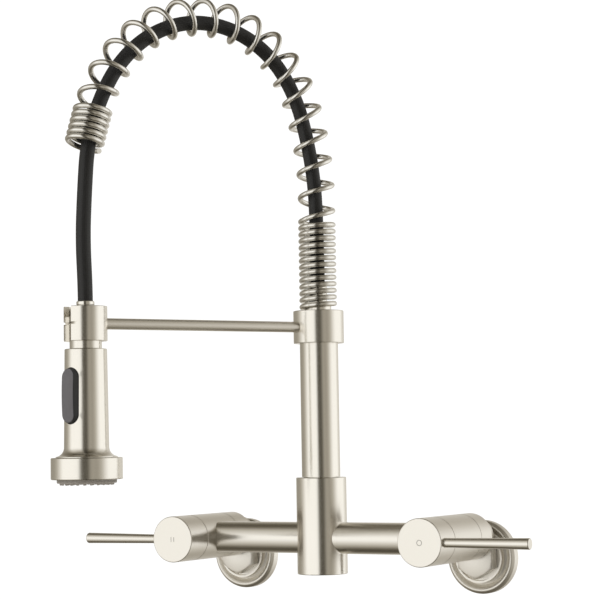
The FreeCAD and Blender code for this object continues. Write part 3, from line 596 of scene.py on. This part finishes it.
black_rubber = moulded("black_rubber", (0.030, 0.030, 0.031), (0.014, 0.014, 0.015), 0.45, 0.65,
                       4200, 0.00002)
black_plastic = moulded("black_plastic", (0.045, 0.045, 0.048), (0.026, 0.026, 0.028), 0.38, 0.5,
                        3600, 0.00001)
rocker_plastic = moulded("rocker_plastic", (0.125, 0.120, 0.130), (0.085, 0.080, 0.090), 0.32, 0.44,
                         5200, 0.000008, {"IOR": 1.5, "Coat Weight": 0.25, "Coat Roughness": 0.2})
white_plastic = moulded("white_plastic", (0.88, 0.88, 0.86), (0.80, 0.80, 0.77), 0.35, 0.5, 3000, 0.00001)
nozzle_rubber = moulded("nozzle_rubber", (0.40, 0.37, 0.335), (0.30, 0.275, 0.245), 0.45, 0.6, 4200, 0.00002)
ceramic = moulded("lapped_ceramic", (0.93, 0.92, 0.89), (0.87, 0.86, 0.82), 0.08, 0.16, 2600, 0.000002)
ink_grey = moulded("mark_grey", (0.50, 0.48, 0.45), (0.42, 0.41, 0.38), 0.4, 0.5, 4000, 0.000004)


STRANDS_AROUND = 12
STRANDS_ALONG = 2600


def braided_rubber(name):
    """Black rubber over a braid whose strands cross in two directions."""
    def changing(nodes):
        turned_by, along, _ = nodes.parts_of(nodes.add("ShaderNodeTexCoord", output="UV"))
        around = turned_by * (2 * math.pi)
        strands_one = (around * STRANDS_AROUND + along * STRANDS_ALONG).sine()
        strands_two = (around * STRANDS_AROUND - along * STRANDS_ALONG).sine()
        braid = strands_one * strands_two * 0.5 + 0.5
        dust = noise(nodes, object_place(nodes), 900, 3.0, 0.6)
        tone = braid * 0.45 + dust * 0.55
        return {
            "Base Color": blend_of(nodes, tone, (0.0065, 0.0065, 0.007, 1), (0.020, 0.020, 0.021, 1)),
            "Roughness": 0.42 + dust * 0.2 - braid * 0.05,
            "Normal": bumped(nodes, braid * 0.6 + dust * 0.4, 0.00006),
        }
    return dressed_in(name, {"IOR": 1.5}, changing)


hose_rubber = braided_rubber("hose_rubber")
hose.data.materials.append(hose_rubber)
print("finishes in all:", len(bpy.data.materials))

# %% [markdown]
# ## Winding the spring
#
# The axis is walked in small steps: a straight foot on the post, a slow bend, the round bow, a wider bow
# and a last straight. Its heading starts upright and ends a little short of upside down.

# %% Spring axis
SPRING_FOOT = 185.65
AXIS_STRETCHES = [(81.8, None), (72.1, 215.2), (163.1, 84.9), (67, 108.9), (30, None)]


def spring_axis(step=1.0):
    """Places along the spring's axis, from stretches of (length, bend radius) in millimetres."""
    out, height, heading = 0.0, SPRING_FOOT, 0.0
    places = [in_arm_plane(out, height)]
    for length, radius in AXIS_STRETCHES:
        count = math.ceil(length / step)
        small = length / count
        for _ in range(count):
            bend = small / radius if radius else 0.0
            out += small * math.sin(heading + bend / 2)
            height += small * math.cos(heading + bend / 2)
            heading += bend
            places.append(in_arm_plane(out, height))
    return places


axis_places = spring_axis()
print("spring axis ends in mm", [round(value / MM, 1) for value in axis_places[-1]])

# %% Spring
spring_mesh = grown("spring_arch", coil_group, polyline("spring_axis", axis_places), {
    "Coil radius": 12.1 * MM, "Wire radius": 1.95 * MM, "Steps per turn": 36, "Wire sides": 14,
    "First turns": 13.25, "First pitch": 4.9 * MM, "Open turns": 17.0, "Open pitch": 18.71 * MM,
    "Last turns": 6.0, "Last pitch": 4.5 * MM, "Sideways": tuple(ASIDE), "Finish": spring_wire,
})
spring = new_piece("spring_arch", spring_mesh)

# %% [markdown]
# ## The hose and the spring in the frame's place
#
# When the spray head leaves its ring, the hose and the free side of the spring follow it, and the side on
# the post stays. Here the two new pieces only take the place of the frame's hose and spring, which are
# hidden, and their places are baked into their meshes. A slanting line from the hose's foot is worked out
# but not used.

# %% Hose and spring in the frame's place
SLANT = math.radians(35)
SLANT_LENGTH = 156.8 * MM
bend_start = in_arm_plane(*HOSE_ROUTE[0])
bend_end = bend_start + (OUT * math.cos(SLANT) - UP * math.sin(SLANT)) * SLANT_LENGTH
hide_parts("hose")
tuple(hose_line[0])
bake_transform(hose)
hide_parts("spring")
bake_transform(spring)
nodes_left -= {"hose", "spring"}
print("hose and spring are blended over", round(SLANT_LENGTH / MM, 1), "mm")

# %% [markdown]
# ## Turned pieces
#
# Ferrules, rings and marks are lathe work: an outline of radius and height turned about a line. Blender's
# Screw modifier could turn it too, but a few lines of code put the piece straight into its place in the
# mesh, on any axis, and close the ends.

# %% Turned shapes
def turned(name, outline, spot, towards, sides=96):
    """A closed outline of (radius, height) in mm, turned about the line from spot towards a direction."""
    towards = towards.normalized()
    across = towards.orthogonal().normalized()
    third = towards.cross(across)
    verts = []
    for radius, height in outline:
        for step in range(sides):
            angle = 2 * math.pi * step / sides
            spoke = across * math.cos(angle) + third * math.sin(angle)
            verts.append(spot + towards * (height * MM) + spoke * (radius * MM))
    faces = []
    rows = len(outline)
    for row in range(rows):
        following = (row + 1) % rows
        if outline[row][0] or outline[following][0]:
            faces += band(row * sides, following * sides, sides)
    return mesh_of(name, verts, faces)


def joined(name, meshes):
    """One mesh out of several."""
    work = bmesh.new()
    for mesh in meshes:
        work.from_mesh(mesh)
    whole = bpy.data.meshes.new(name)
    work.to_mesh(whole)
    work.free()
    return shaded(whole)


def finished(piece, material, body, stands_for=None):
    """Give a piece its finish, the body it rides on and the node it stands for."""
    if not piece.data.materials:
        piece.data.materials.append(material)
    if stands_for:
        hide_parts(stands_for)
        nodes_left.discard(stands_for)
    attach(piece, body)
    print(piece.name, "rides on", body)


print("turned shapes can be made on any axis")

# %% [markdown]
# ## The crimped ferrule over the spray head
#
# The hose ends in a pressed metal ferrule that shows above the ring. The press leaves three shallow
# grooves round it, which catch the light as thin lines.

# %% Spray ferrule
FERRULE_RADIUS = 6.3
GROOVE_FLOOR = 6.0
SLEEVE_RADIUS = 4.9
HOSE_BORE = 5.3
WATER_BORE = 2.6
spray_spot = Vector((spray_axis.x, spray_axis.y, 0))
neck_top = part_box("dock_neck")[1].z / MM
ferrule_foot, ferrule_top = (corner.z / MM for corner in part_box("spray_ferrule"))
outline = [(WATER_BORE, ferrule_foot), (SLEEVE_RADIUS, ferrule_foot), (SLEEVE_RADIUS, neck_top + 0.1),
           (FERRULE_RADIUS, neck_top + 0.1)]
for groove in (2.4, 4.8, 7.2):
    level = neck_top + groove
    outline += [(FERRULE_RADIUS, level - 0.7), (GROOVE_FLOOR, level - 0.35),
                (GROOVE_FLOOR, level + 0.35), (FERRULE_RADIUS, level + 0.7)]
outline += [(FERRULE_RADIUS, ferrule_top - 0.4), (FERRULE_RADIUS - 0.35, ferrule_top),
            (HOSE_BORE, ferrule_top), (HOSE_BORE, neck_top + 1.8), (WATER_BORE, neck_top + 1.8)]
ferrule_mesh = turned("hose_ferrule", outline, spray_spot, UP)
finished(new_piece("hose_ferrule", ferrule_mesh), bright_nickel, "hose_end", "spray_ferrule")

# %% [markdown]
# ## The wall unions
#
# Through each flange an offset union leads the water 16 mm up: a threaded stub in the wall, a wrench
# hexagon with chamfered corners, and a round spigot. The chamfer is what a cone leaves on a hexagon, so
# each corner dips in a curve. That curve is one line of arithmetic in code, while a bevel would cut the
# corners straight. The thread is wound by the spring's own tree.

# %% Hexagon
CHAMFER = 0.35


def chamfered_hexagon(name, flats, start, end, spot, towards, upward, sides=96):
    """A wrench hexagon between two heights in mm, with its front corners turned off."""
    third = towards.cross(upward)
    face_radius = flats / 2 - CHAMFER
    rows = [[], [], [], []]
    for step in range(sides):
        angle = 2 * math.pi * step / sides
        from_flat = (angle + math.pi / 6) % (math.pi / 3) - math.pi / 6
        radius = flats / 2 / math.cos(from_flat)
        dip = max(radius - face_radius, 0) / math.sqrt(3)
        spoke = third * math.cos(angle) + upward * math.sin(angle)
        places = ((0.1, start), (radius, start), (radius, end - dip), (face_radius, end))
        for row, (size, height) in zip(rows, places):
            row.append(spot + towards * (height * MM) + spoke * (size * MM))
    front = [spot + towards * (end * MM)] * sides
    verts = [place for row in [*rows, front] for place in row]
    faces = []
    for row in range(len(rows)):
        faces += band(row * sides, (row + 1) * sides, sides)
    faces.append(tuple(range(sides)))
    return mesh_of(name, verts, faces, 20)


print("a wrench hexagon can be made on any axis")

# %% Unions and threads
FROM_WALL = Vector((0, -1, 0))
THREAD_PITCH = 1.814
THREAD_DEPTH = 0.98
STUB_RADIUS = 10.478
PASSAGE_RADIUS = 7
FLATS = 27
HEXAGON_START, HEXAGON_END = 8.8, 18.8
SPIGOT_START, SPIGOT_RADIUS, SPIGOT_CORNER = 12.2, 13.1, 0.4
THREAD_SIZES = {
    "Coil radius": (STUB_RADIUS - 0.8) * MM, "Wire radius": 0.79 * MM, "Steps per turn": 48,
    "Wire sides": 8, "Open pitch": THREAD_PITCH * MM, "Sideways": (1.0, 0.0, 0.0),
    "Finish": bright_nickel,
}
for kind in ("hot", "cold"):
    flange = middle(f"{kind}_wall_flange")
    valve = middle(f"{kind}_union_nut")
    low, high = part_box(f"{kind}_eccentric")
    wall_spot = Vector((flange.x, 0, flange.z))
    valve_spot = Vector((valve.x, 0, valve.z))
    stub_end = -high.y / MM
    spigot_end = -low.y / MM
    core = STUB_RADIUS - THREAD_DEPTH
    stub = turned("stub", [
        (PASSAGE_RADIUS, stub_end), (core - 0.6, stub_end), (core, stub_end + 0.6), (core, -0.4),
        (10, 0), (10, 9), (PASSAGE_RADIUS, 9)], wall_spot, FROM_WALL)
    hexagon = chamfered_hexagon("hexagon", FLATS, HEXAGON_START, HEXAGON_END, wall_spot, FROM_WALL, UP)
    spigot = turned("spigot", [
        (PASSAGE_RADIUS, SPIGOT_START), (SPIGOT_RADIUS - SPIGOT_CORNER, SPIGOT_START),
        (SPIGOT_RADIUS, SPIGOT_START + SPIGOT_CORNER), (SPIGOT_RADIUS, spigot_end),
        (PASSAGE_RADIUS, spigot_end)], valve_spot, FROM_WALL)
    union = new_piece(f"{kind}_union_body", joined(f"{kind}_union_body", [stub, hexagon, spigot]))
    finished(union, nickel_turned, "fixture", f"{kind}_eccentric")
    run = [wall_spot + FROM_WALL * (height * MM) for height in (stub_end + 0.85, -0.2)]
    thread_turns = (-0.2 - stub_end - 0.85) / THREAD_PITCH
    ridge = grown(f"{kind}_stub_thread", coil_group, polyline("thread_axis", run),
                  {**THREAD_SIZES, "Open turns": thread_turns})
    finished(new_piece(f"{kind}_stub_thread", ridge), bright_nickel, "fixture")

# %% [markdown]
# ## Marks on the handles
#
# Each handle's flat end has a small inlaid mark: two upright bars on the hot side and a ring on the cold
# side. They are thin inlays, so they are real shapes a few hundredths of a millimetre proud.

# %% Handle marks
def bar_shape(name, centre, half_length, half_width, towards, upward, start, end, ends=10):
    """A flat bar with round ends, standing up from one height to another in mm."""
    side = upward.cross(towards)
    rim = []
    for sign in (1, -1):
        for step in range(ends + 1):
            angle = math.pi * step / ends
            along = upward * (sign * (half_length + half_width * math.sin(angle)))
            rim.append(centre + (along + side * (sign * half_width * math.cos(angle))) * MM)
    verts = [place + towards * (height * MM) for height in (start, end) for place in rim]
    count = len(rim)
    caps = [tuple(reversed(range(count))), tuple(range(count, 2 * count))]
    return mesh_of(name, verts, caps + band(0, count, count))


MARK_HEIGHT = 0.04
INLAY_DEPTH = 0.1
RING_RADII = (1.55, 2.15)
BAR_OFFSETS = (-1.2, 1.2)
for kind in ("hot", "cold"):
    cap = middle(f"{kind}_handle_cap")
    cap_end = -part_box(f"{kind}_handle_cap")[0].y / MM
    spot = Vector((cap.x, 0, cap.z))
    floor_height = cap_end - INLAY_DEPTH
    top_height = cap_end + MARK_HEIGHT
    if kind == "cold":
        inner, outer = RING_RADII
        ring = [(inner, floor_height), (outer, floor_height), (outer, top_height), (inner, top_height)]
        mark = turned("cold_mark", ring, spot, FROM_WALL, 48)
    else:
        bars = [bar_shape("bar", spot + Vector((offset * MM, 0, 0)), 1.5, 0.32, FROM_WALL, UP,
                          floor_height, top_height) for offset in BAR_OFFSETS]
        mark = joined("hot_mark", bars)
    finished(new_piece(f"{kind}_mark", mark), ink_grey, f"{kind}_handle")

# %% [markdown]
# ## The rocker on the spray head
#
# The dark rocker changes between spray and stream. It is a slot shape: a steep skirt, a round rim and a face
# that is bowed along and dished across, so that a thumb finds it. The skirt is given black rubber, darker
# than the face's plastic, as painted shade on the rocker's side walls. Rings of the slot outline, each a
# little smaller than the last, give all three; the bow comes from a circle along its length. The bore for
# the hinge pin is one straight cut, which a Boolean modifier makes and a plain mesh keeps.

# %% Rocker outline
rocker_low, rocker_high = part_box("toggle_button")
toggle_spot = Vector((spray_axis.x, spray_axis.y, (rocker_low.z + rocker_high.z) / 2))
rock = next(joint for joint in frame["joints"] if joint["name"] == "toggle_rock")
toggle_out = Vector(rock["axis"]).cross(UP).normalized()
ROCKER_LENGTH = (rocker_high.z - rocker_low.z) / MM
ROCKER_WIDTH = 12.4
ROCKER_BOW = 200.0
ROCKER_ENDS = 24
SKIRT = [(0.0, 10.7), (0.0, 15.9), (0.1, 16.4), (0.3, 17.5), (0.45, 17.95), (0.75, 18.3)]
RIM = [(1.15, 18.47), (1.6, 18.5)]
DISH_DEPTH = 0.42
DISH_RINGS = 8
BOW_STARTS = 12
dish_start, dish_top = RIM[-1]
dish_width = ROCKER_WIDTH / 2 - dish_start
DISH = []
for number in range(1, DISH_RINGS + 1):
    share = number / (DISH_RINGS + 0.2)
    DISH.append((dish_start + dish_width * share, dish_top - DISH_DEPTH * (1 - (1 - share) ** 2)))


def slot_ring(inset, reach, straights=14):
    """One ring of the rocker: a slot outline inset in mm, at a reach from the head's axis."""
    side = toggle_out.cross(UP)
    radius = ROCKER_WIDTH / 2 - inset
    straight = (ROCKER_LENGTH - ROCKER_WIDTH) / 2
    places = []
    for sign in (1, -1):
        for step in range(ROCKER_ENDS + 1):
            angle = math.pi * step / ROCKER_ENDS
            places.append((sign * radius * math.cos(angle), sign * (straight + radius * math.sin(angle))))
        for step in range(1, straights):
            share = step / straights
            places.append((-sign * radius, sign * straight * (1 - 2 * share)))
    ring = []
    for across, along in places:
        bow = ROCKER_BOW - math.sqrt(ROCKER_BOW ** 2 - along ** 2)
        lifted = reach - (bow if reach > BOW_STARTS else 0)
        ring.append(toggle_spot + (side * across + UP * along + toggle_out * lifted) * MM)
    return ring


rings = [slot_ring(inset, reach) for inset, reach in SKIRT + RIM + DISH]
print(len(rings), "rings of", len(rings[0]), "points each")

# %% Rocker
PIN_CLEARANCE = 0.05
count = len(rings[0])
verts = [place for ring in rings for place in ring]
faces = [tuple(range(count))]
for row in range(len(rings) - 1):
    faces += band(row * count, (row + 1) * count, count)
last = (len(rings) - 1) * count
for step in range(ROCKER_ENDS // 2, ROCKER_ENDS // 2 + count // 2):
    corners = dict.fromkeys([step, step + 1, (ROCKER_ENDS - step - 1) % count, (ROCKER_ENDS - step) % count])
    faces.append(tuple(last + corner for corner in corners))
shaded_skirt_faces = 1 + (len(SKIRT) - 1) * count
rocker = new_piece("spray_rocker", mesh_of("spray_rocker", verts, faces, 55))
# The skirt's faces take the darker black rubber as painted shade on the side walls; the face keeps the
# lighter plastic.
rocker.data.materials.append(rocker_plastic)
rocker.data.materials.append(black_rubber)
for face in rocker.data.polygons[:shaded_skirt_faces]:
    face.material_index = 1
pin_low, pin_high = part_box("toggle_pin")
bore_radius = (pin_high.z - pin_low.z) / 2 / MM + PIN_CLEARANCE
bore = [(0, -ROCKER_WIDTH), (0, ROCKER_WIDTH), (bore_radius, ROCKER_WIDTH), (bore_radius, -ROCKER_WIDTH)]
drill = new_piece("drill", turned("drill", bore, middle("toggle_pin"), Vector(rock["axis"]), 32))
cut = rocker.modifiers.new("bore", "BOOLEAN")
cut.object = drill
cut.solver = "EXACT"
bpy.context.view_layer.update()
drilled = bpy.data.meshes.new_from_object(rocker.evaluated_get(bpy.context.evaluated_depsgraph_get()))
rocker.modifiers.remove(cut)
bpy.data.objects.remove(drill)
rocker.data = shaded(drilled, 55)
print("rocker bored at", round(2 * bore_radius, 2), "mm for its pin")
finished(rocker, rocker_plastic, "toggle", "toggle_button")

# %% [markdown]
# ## The nozzle face
#
# The spray comes through three rings of soft nozzles moulded in one rubber face, so that scale can be
# rubbed off. Geometry Nodes stand one little nozzle on each point of three circles. Each nozzle is a small
# turned shape of few faces with a dimple for its hole, because it is repeated over fifty times.

# %% Nozzle tree
NOZZLE_INPUTS = [("Nozzle", "Object"), ("Height", "Float"), ("Inner radius", "Float"),
                 ("Ring step", "Float"), ("Inner count", "Int"), ("Count step", "Int"),
                 ("Finish", "Material")]
ring_group, rings_tree, given = group_with("nozzle_rings", NOZZLE_INPUTS)
nozzle = rings_tree.add("GeometryNodeObjectInfo", {}, {"Object": given["Nozzle"]}, "Geometry")
gather = rings_tree.tree.nodes.new("GeometryNodeJoinGeometry")
for number in range(3):
    circle = rings_tree.add("GeometryNodeMeshCircle", {}, {
        "Vertices": given["Inner count"] + given["Count step"] * number,
        "Radius": given["Inner radius"] + given["Ring step"] * number,
    })
    low_place = rings_tree.add("ShaderNodeCombineXYZ", {}, {2: given["Height"]})
    moved = rings_tree.add("GeometryNodeTransform", {}, {"Geometry": circle, "Translation": low_place})
    stood = rings_tree.add("GeometryNodeInstanceOnPoints", {}, {"Points": moved, "Instance": nozzle})
    rings_tree.tree.links.new(stood.socket, gather.inputs[0])
close_group(rings_tree, Wire(rings_tree, gather.outputs[0]), given["Finish"])
print("nozzle tree has", len(ring_group.nodes), "nodes")

# %% Nozzle face
FACE_BOTTOM = 61.0
NOZZLE = [(0, -0.5), (0.3, -1.3), (0.62, -1.3), (0.8, -1.1), (1.05, 0.25), (0, 0.25)]
face_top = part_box("nozzle_face")[1].z / MM
nozzle_holder = new_piece("nozzle_holder", turned("nozzle", NOZZLE, ORIGIN, UP, 10))
nozzles = grown("nozzles", ring_group, polyline("start", [ORIGIN, UP * MM]), {
    "Nozzle": nozzle_holder, "Height": FACE_BOTTOM * MM, "Inner radius": 10 * MM, "Ring step": 4 * MM,
    "Inner count": 12, "Count step": 6, "Finish": nozzle_rubber,
})
bpy.data.objects.remove(nozzle_holder)
nozzles.transform(Matrix.Translation(spray_spot))
disc_outline = [(6.6, FACE_BOTTOM), (8.0, FACE_BOTTOM), (8.4, FACE_BOTTOM + 0.35), (8.8, FACE_BOTTOM),
                (20.2, FACE_BOTTOM), (20.7, FACE_BOTTOM + 0.5), (20.7, face_top), (6.6, face_top)]
disc = turned("disc", disc_outline, spray_spot, UP)
face_mesh = joined("spray_face", [nozzles, disc])
finished(new_piece("spray_face", face_mesh), nozzle_rubber, "spray_head", "nozzle_face")

# %% [markdown]
# ## The screen in the middle
#
# The centre stream is calmed by a woven wire screen. Two sets of thin bars, each cut to the chord of the
# outlet's round mouth, make the weave; a rule gives every bar its place and its length.

# %% Screen
SCREEN_INPUTS = [("Mouth radius", "Float"), ("Wire radius", "Float"), ("Bars", "Int"),
                 ("Finish", "Material")]
screen_group, weave, given = group_with("screen", SCREEN_INPUTS)
spacing = given["Mouth radius"] * 2 / (given["Bars"] + 1)
bar_points = weave.add("GeometryNodeMeshLine", {}, {"Count": given["Bars"]})
offset = spacing * (weave.add("GeometryNodeInputIndex") + 1) - given["Mouth radius"]
chord = (given["Mouth radius"] * given["Mouth radius"] - offset * offset).root()
bar = weave.add("GeometryNodeMeshCylinder", {},
                {"Vertices": 6, "Radius": given["Wire radius"], "Depth": 2.0})
gather = weave.tree.nodes.new("GeometryNodeJoinGeometry")
for turn_about, along_x in ((Vector((math.pi / 2, 0, 0)), True), (Vector((0, math.pi / 2, 0)), False)):
    spot = weave.add("ShaderNodeCombineXYZ", {}, {0 if along_x else 1: offset})
    placed = weave.add("GeometryNodeSetPosition", {}, {"Geometry": bar_points, "Position": spot})
    length_scale = weave.add("ShaderNodeCombineXYZ", {}, {0: 1.0, 1: 1.0, 2: chord})
    stood = weave.add("GeometryNodeInstanceOnPoints", {}, {
        "Points": placed, "Instance": bar, "Rotation": turn_about, "Scale": length_scale})
    weave.tree.links.new(stood.socket, gather.inputs[0])
close_group(weave, Wire(weave, gather.outputs[0]), given["Finish"])
screen_mesh = grown("outlet_screen", screen_group, polyline("start", [ORIGIN, UP * MM]), {
    "Mouth radius": 4.6 * MM, "Wire radius": 0.11 * MM, "Bars": 13, "Finish": screw_steel,
})
SCREEN_DEPTH = 1.2
screen_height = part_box("stream_outlet")[0].z + SCREEN_DEPTH * MM
screen_mesh.transform(Matrix.Translation(spray_spot + UP * screen_height))
finished(new_piece("outlet_screen", screen_mesh), screw_steel, "spray_head")

# %% [markdown]
# ## Dressing the metal bodies
#
# Everything else already has its true shape, so it keeps it and only gets a finish. The direction of the
# brushing follows the way each piece was held against the belt: upright tubes along their height, the
# bridge and the levers along their length, valves and handles along theirs.

# %% Dress the frame's own pieces
def both(*parts):
    """The names of parts that are there once on the hot side and once on the cold side."""
    return [f"{side}_{part}" for part in parts for side in ("hot", "cold")]


DRESS = {
    nickel_upright: ["post", "collar", "centre_body", "base_plug", "holder_ring", "dock_neck",
                     "head_shell", "spray_bell"],
    nickel_across: ["arm", *both("lever", "bridge_pipe")],
    nickel_valve: both("valve_body", "union_nut", "handle_cap"),
    nickel_turned: both("wall_flange"),
    bright_nickel: ["post_ferrule"],
    screw_steel: ["collar_screw", "swivel_screw", "toggle_pin", *both("handle_screw")],
    raw_brass: both("cartridge", "spindle"),
    ceramic: both("fixed_disc", "turning_disc"),
    white_plastic: ["swivel_bush", "check_valve", "spray_core", "diverter_spool"],
    black_plastic: ["outlet_plate", "stream_outlet"],
    black_rubber: ["post_seals", "dock_washer", "dock_seal", *both("union_washer", "seat_seal")],
}
for material, names in DRESS.items():
    for name in names:
        frame["nodes"][name].data.materials.clear()
        frame["nodes"][name].data.materials.append(material)
        nodes_left.discard(name)
print("nodes without a finish:", sorted(nodes_left))

# %% [markdown]
# ## The studio
#
# Satin metal shows what stands round it. The faucet stands in a white tent, darker overhead and underneath,
# with grey sides and one dark gap where the tent opens. That gap draws the narrow dark band down every
# upright tube, and the dark roof and floor edge the level ones. The tent is a world shader that reads the
# direction: one ramp goes round, in degrees from straight out of the wall, and one goes from the floor to
# the roof. Soft lights that metal doesn't mirror keep the floor pale.

# %% Light tent
world = bpy.data.worlds.new("tent")
bpy.context.scene.world = world
world.use_nodes = True
world.node_tree.nodes.clear()
tent = Nodes(world.node_tree)
east, north, height = tent.parts_of(tent.add("ShaderNodeTexCoord", output="Generated"))
azimuth = east.maths("ARCTAN2", east, 0 - north) / (2 * math.pi) + 0.5
TENT_STRENGTH = 1.07
WHITE_CLOTH = (1.0, 0.995, 0.975, 1)
ROUND_ABOUT = [
    (-180, 0.62), (-150, 0.72), (-132, 0.42), (-116, 0.30), (-90, 0.33), (-76, 0.42), (-62, 0.66),
    (-48, 1), (9, 1), (17, 0.12), (24, 0.085), (38, 0.085), (48, 0.33), (56, 0.37), (66, 0.31),
    (76, 0.38), (86, 0.50), (97, 0.78), (110, 1), (146, 1), (160, 0.76), (176, 0.62),
]
FLOOR_TO_ROOF = [
    (0.0, 0.18), (0.066, 0.21), (0.137, 0.42), (0.263, 0.70), (0.40, 0.96), (0.46, 1), (0.56, 1),
    (0.62, 0.94), (0.70, 0.78), (0.873, 0.45), (0.93, 0.25), (1.0, 0.18),
]


def tent_tone(grey):
    """A tent tone: 1 is the white cloth, and darker ones are browner."""
    if grey == 1:
        return WHITE_CLOTH
    warmth = 1 - grey
    return (grey, grey * (1 - 0.10 * warmth), grey * (1 - 0.30 * warmth), 1)


round_stops = [(degrees / 360 + 0.5, tent_tone(grey)) for degrees, grey in ROUND_ABOUT]
height_stops = [(share, tent_tone(grey)) for share, grey in FLOOR_TO_ROOF]
round_about = tent.add("ShaderNodeValToRGB", {"stops": round_stops}, {0: azimuth})
up_and_down = tent.add("ShaderNodeValToRGB", {"stops": height_stops}, {0: height * 0.5 + 0.5})
tent_colour = tent.add("ShaderNodeMix", {"data_type": "RGBA", "blend_type": "MULTIPLY"},
                       {0: 1.0, 6: round_about, 7: up_and_down}, 2)
seen = tent.add("ShaderNodeLightPath", output="Is Camera Ray")
mixed = tent.add("ShaderNodeMix", {"data_type": "RGBA"}, {0: seen, 6: tent_colour, 7: (1, 1, 1, 1)}, 2)
background = tent.add("ShaderNodeBackground", {}, {"Color": mixed, "Strength": TENT_STRENGTH})
tent.add("ShaderNodeOutputWorld", {}, {"Surface": background})
print("tent nodes", len(tent.tree.nodes))

# %% Soft lights and floor
AIM = (0, -0.1, 0.15)
FLOOR_HALF = 2.2
FLOOR_DROP = 0.32


def soft_light(name, place, size, power):
    """A round area light aimed at the faucet that neither metal nor the camera sees."""
    lamp = bpy.data.lights.new(name, "AREA")
    lamp.shape = "DISK"
    lamp.size = size
    lamp.energy = power
    light = bpy.data.objects.new(name, lamp)
    light.location = place
    light.rotation_euler = (Vector(AIM) - Vector(place)).to_track_quat("-Z", "Y").to_euler()
    light.visible_glossy = False
    light.visible_camera = False
    bpy.context.scene.collection.objects.link(light)


soft_light("soft_top", (0.3, -0.6, 2.2), 1.8, 46)
soft_light("soft_left", (-1.8, -1.2, 1.0), 1.2, 16)

floor_finish = moulded("pale_floor", (0.84, 0.84, 0.83), (0.82, 0.82, 0.81), 0.6, 0.7, 90, 0.00002)
floor_level = cad_low.z - FLOOR_DROP
corners = [(east * FLOOR_HALF, north * FLOOR_HALF, floor_level)
           for east, north in ((-1, -1), (1, -1), (1, 1), (-1, 1))]
floor_mesh = bpy.data.meshes.new("floor")
floor_mesh.from_pydata(corners, [], [(0, 1, 2, 3)])
floor_mesh.materials.append(floor_finish)
floor = new_piece("floor", floor_mesh)
floor.visible_glossy = False

view = bpy.context.scene.view_settings
view.view_transform = "Standard"
view.look = "None"
print("lights", len(bpy.data.lights))
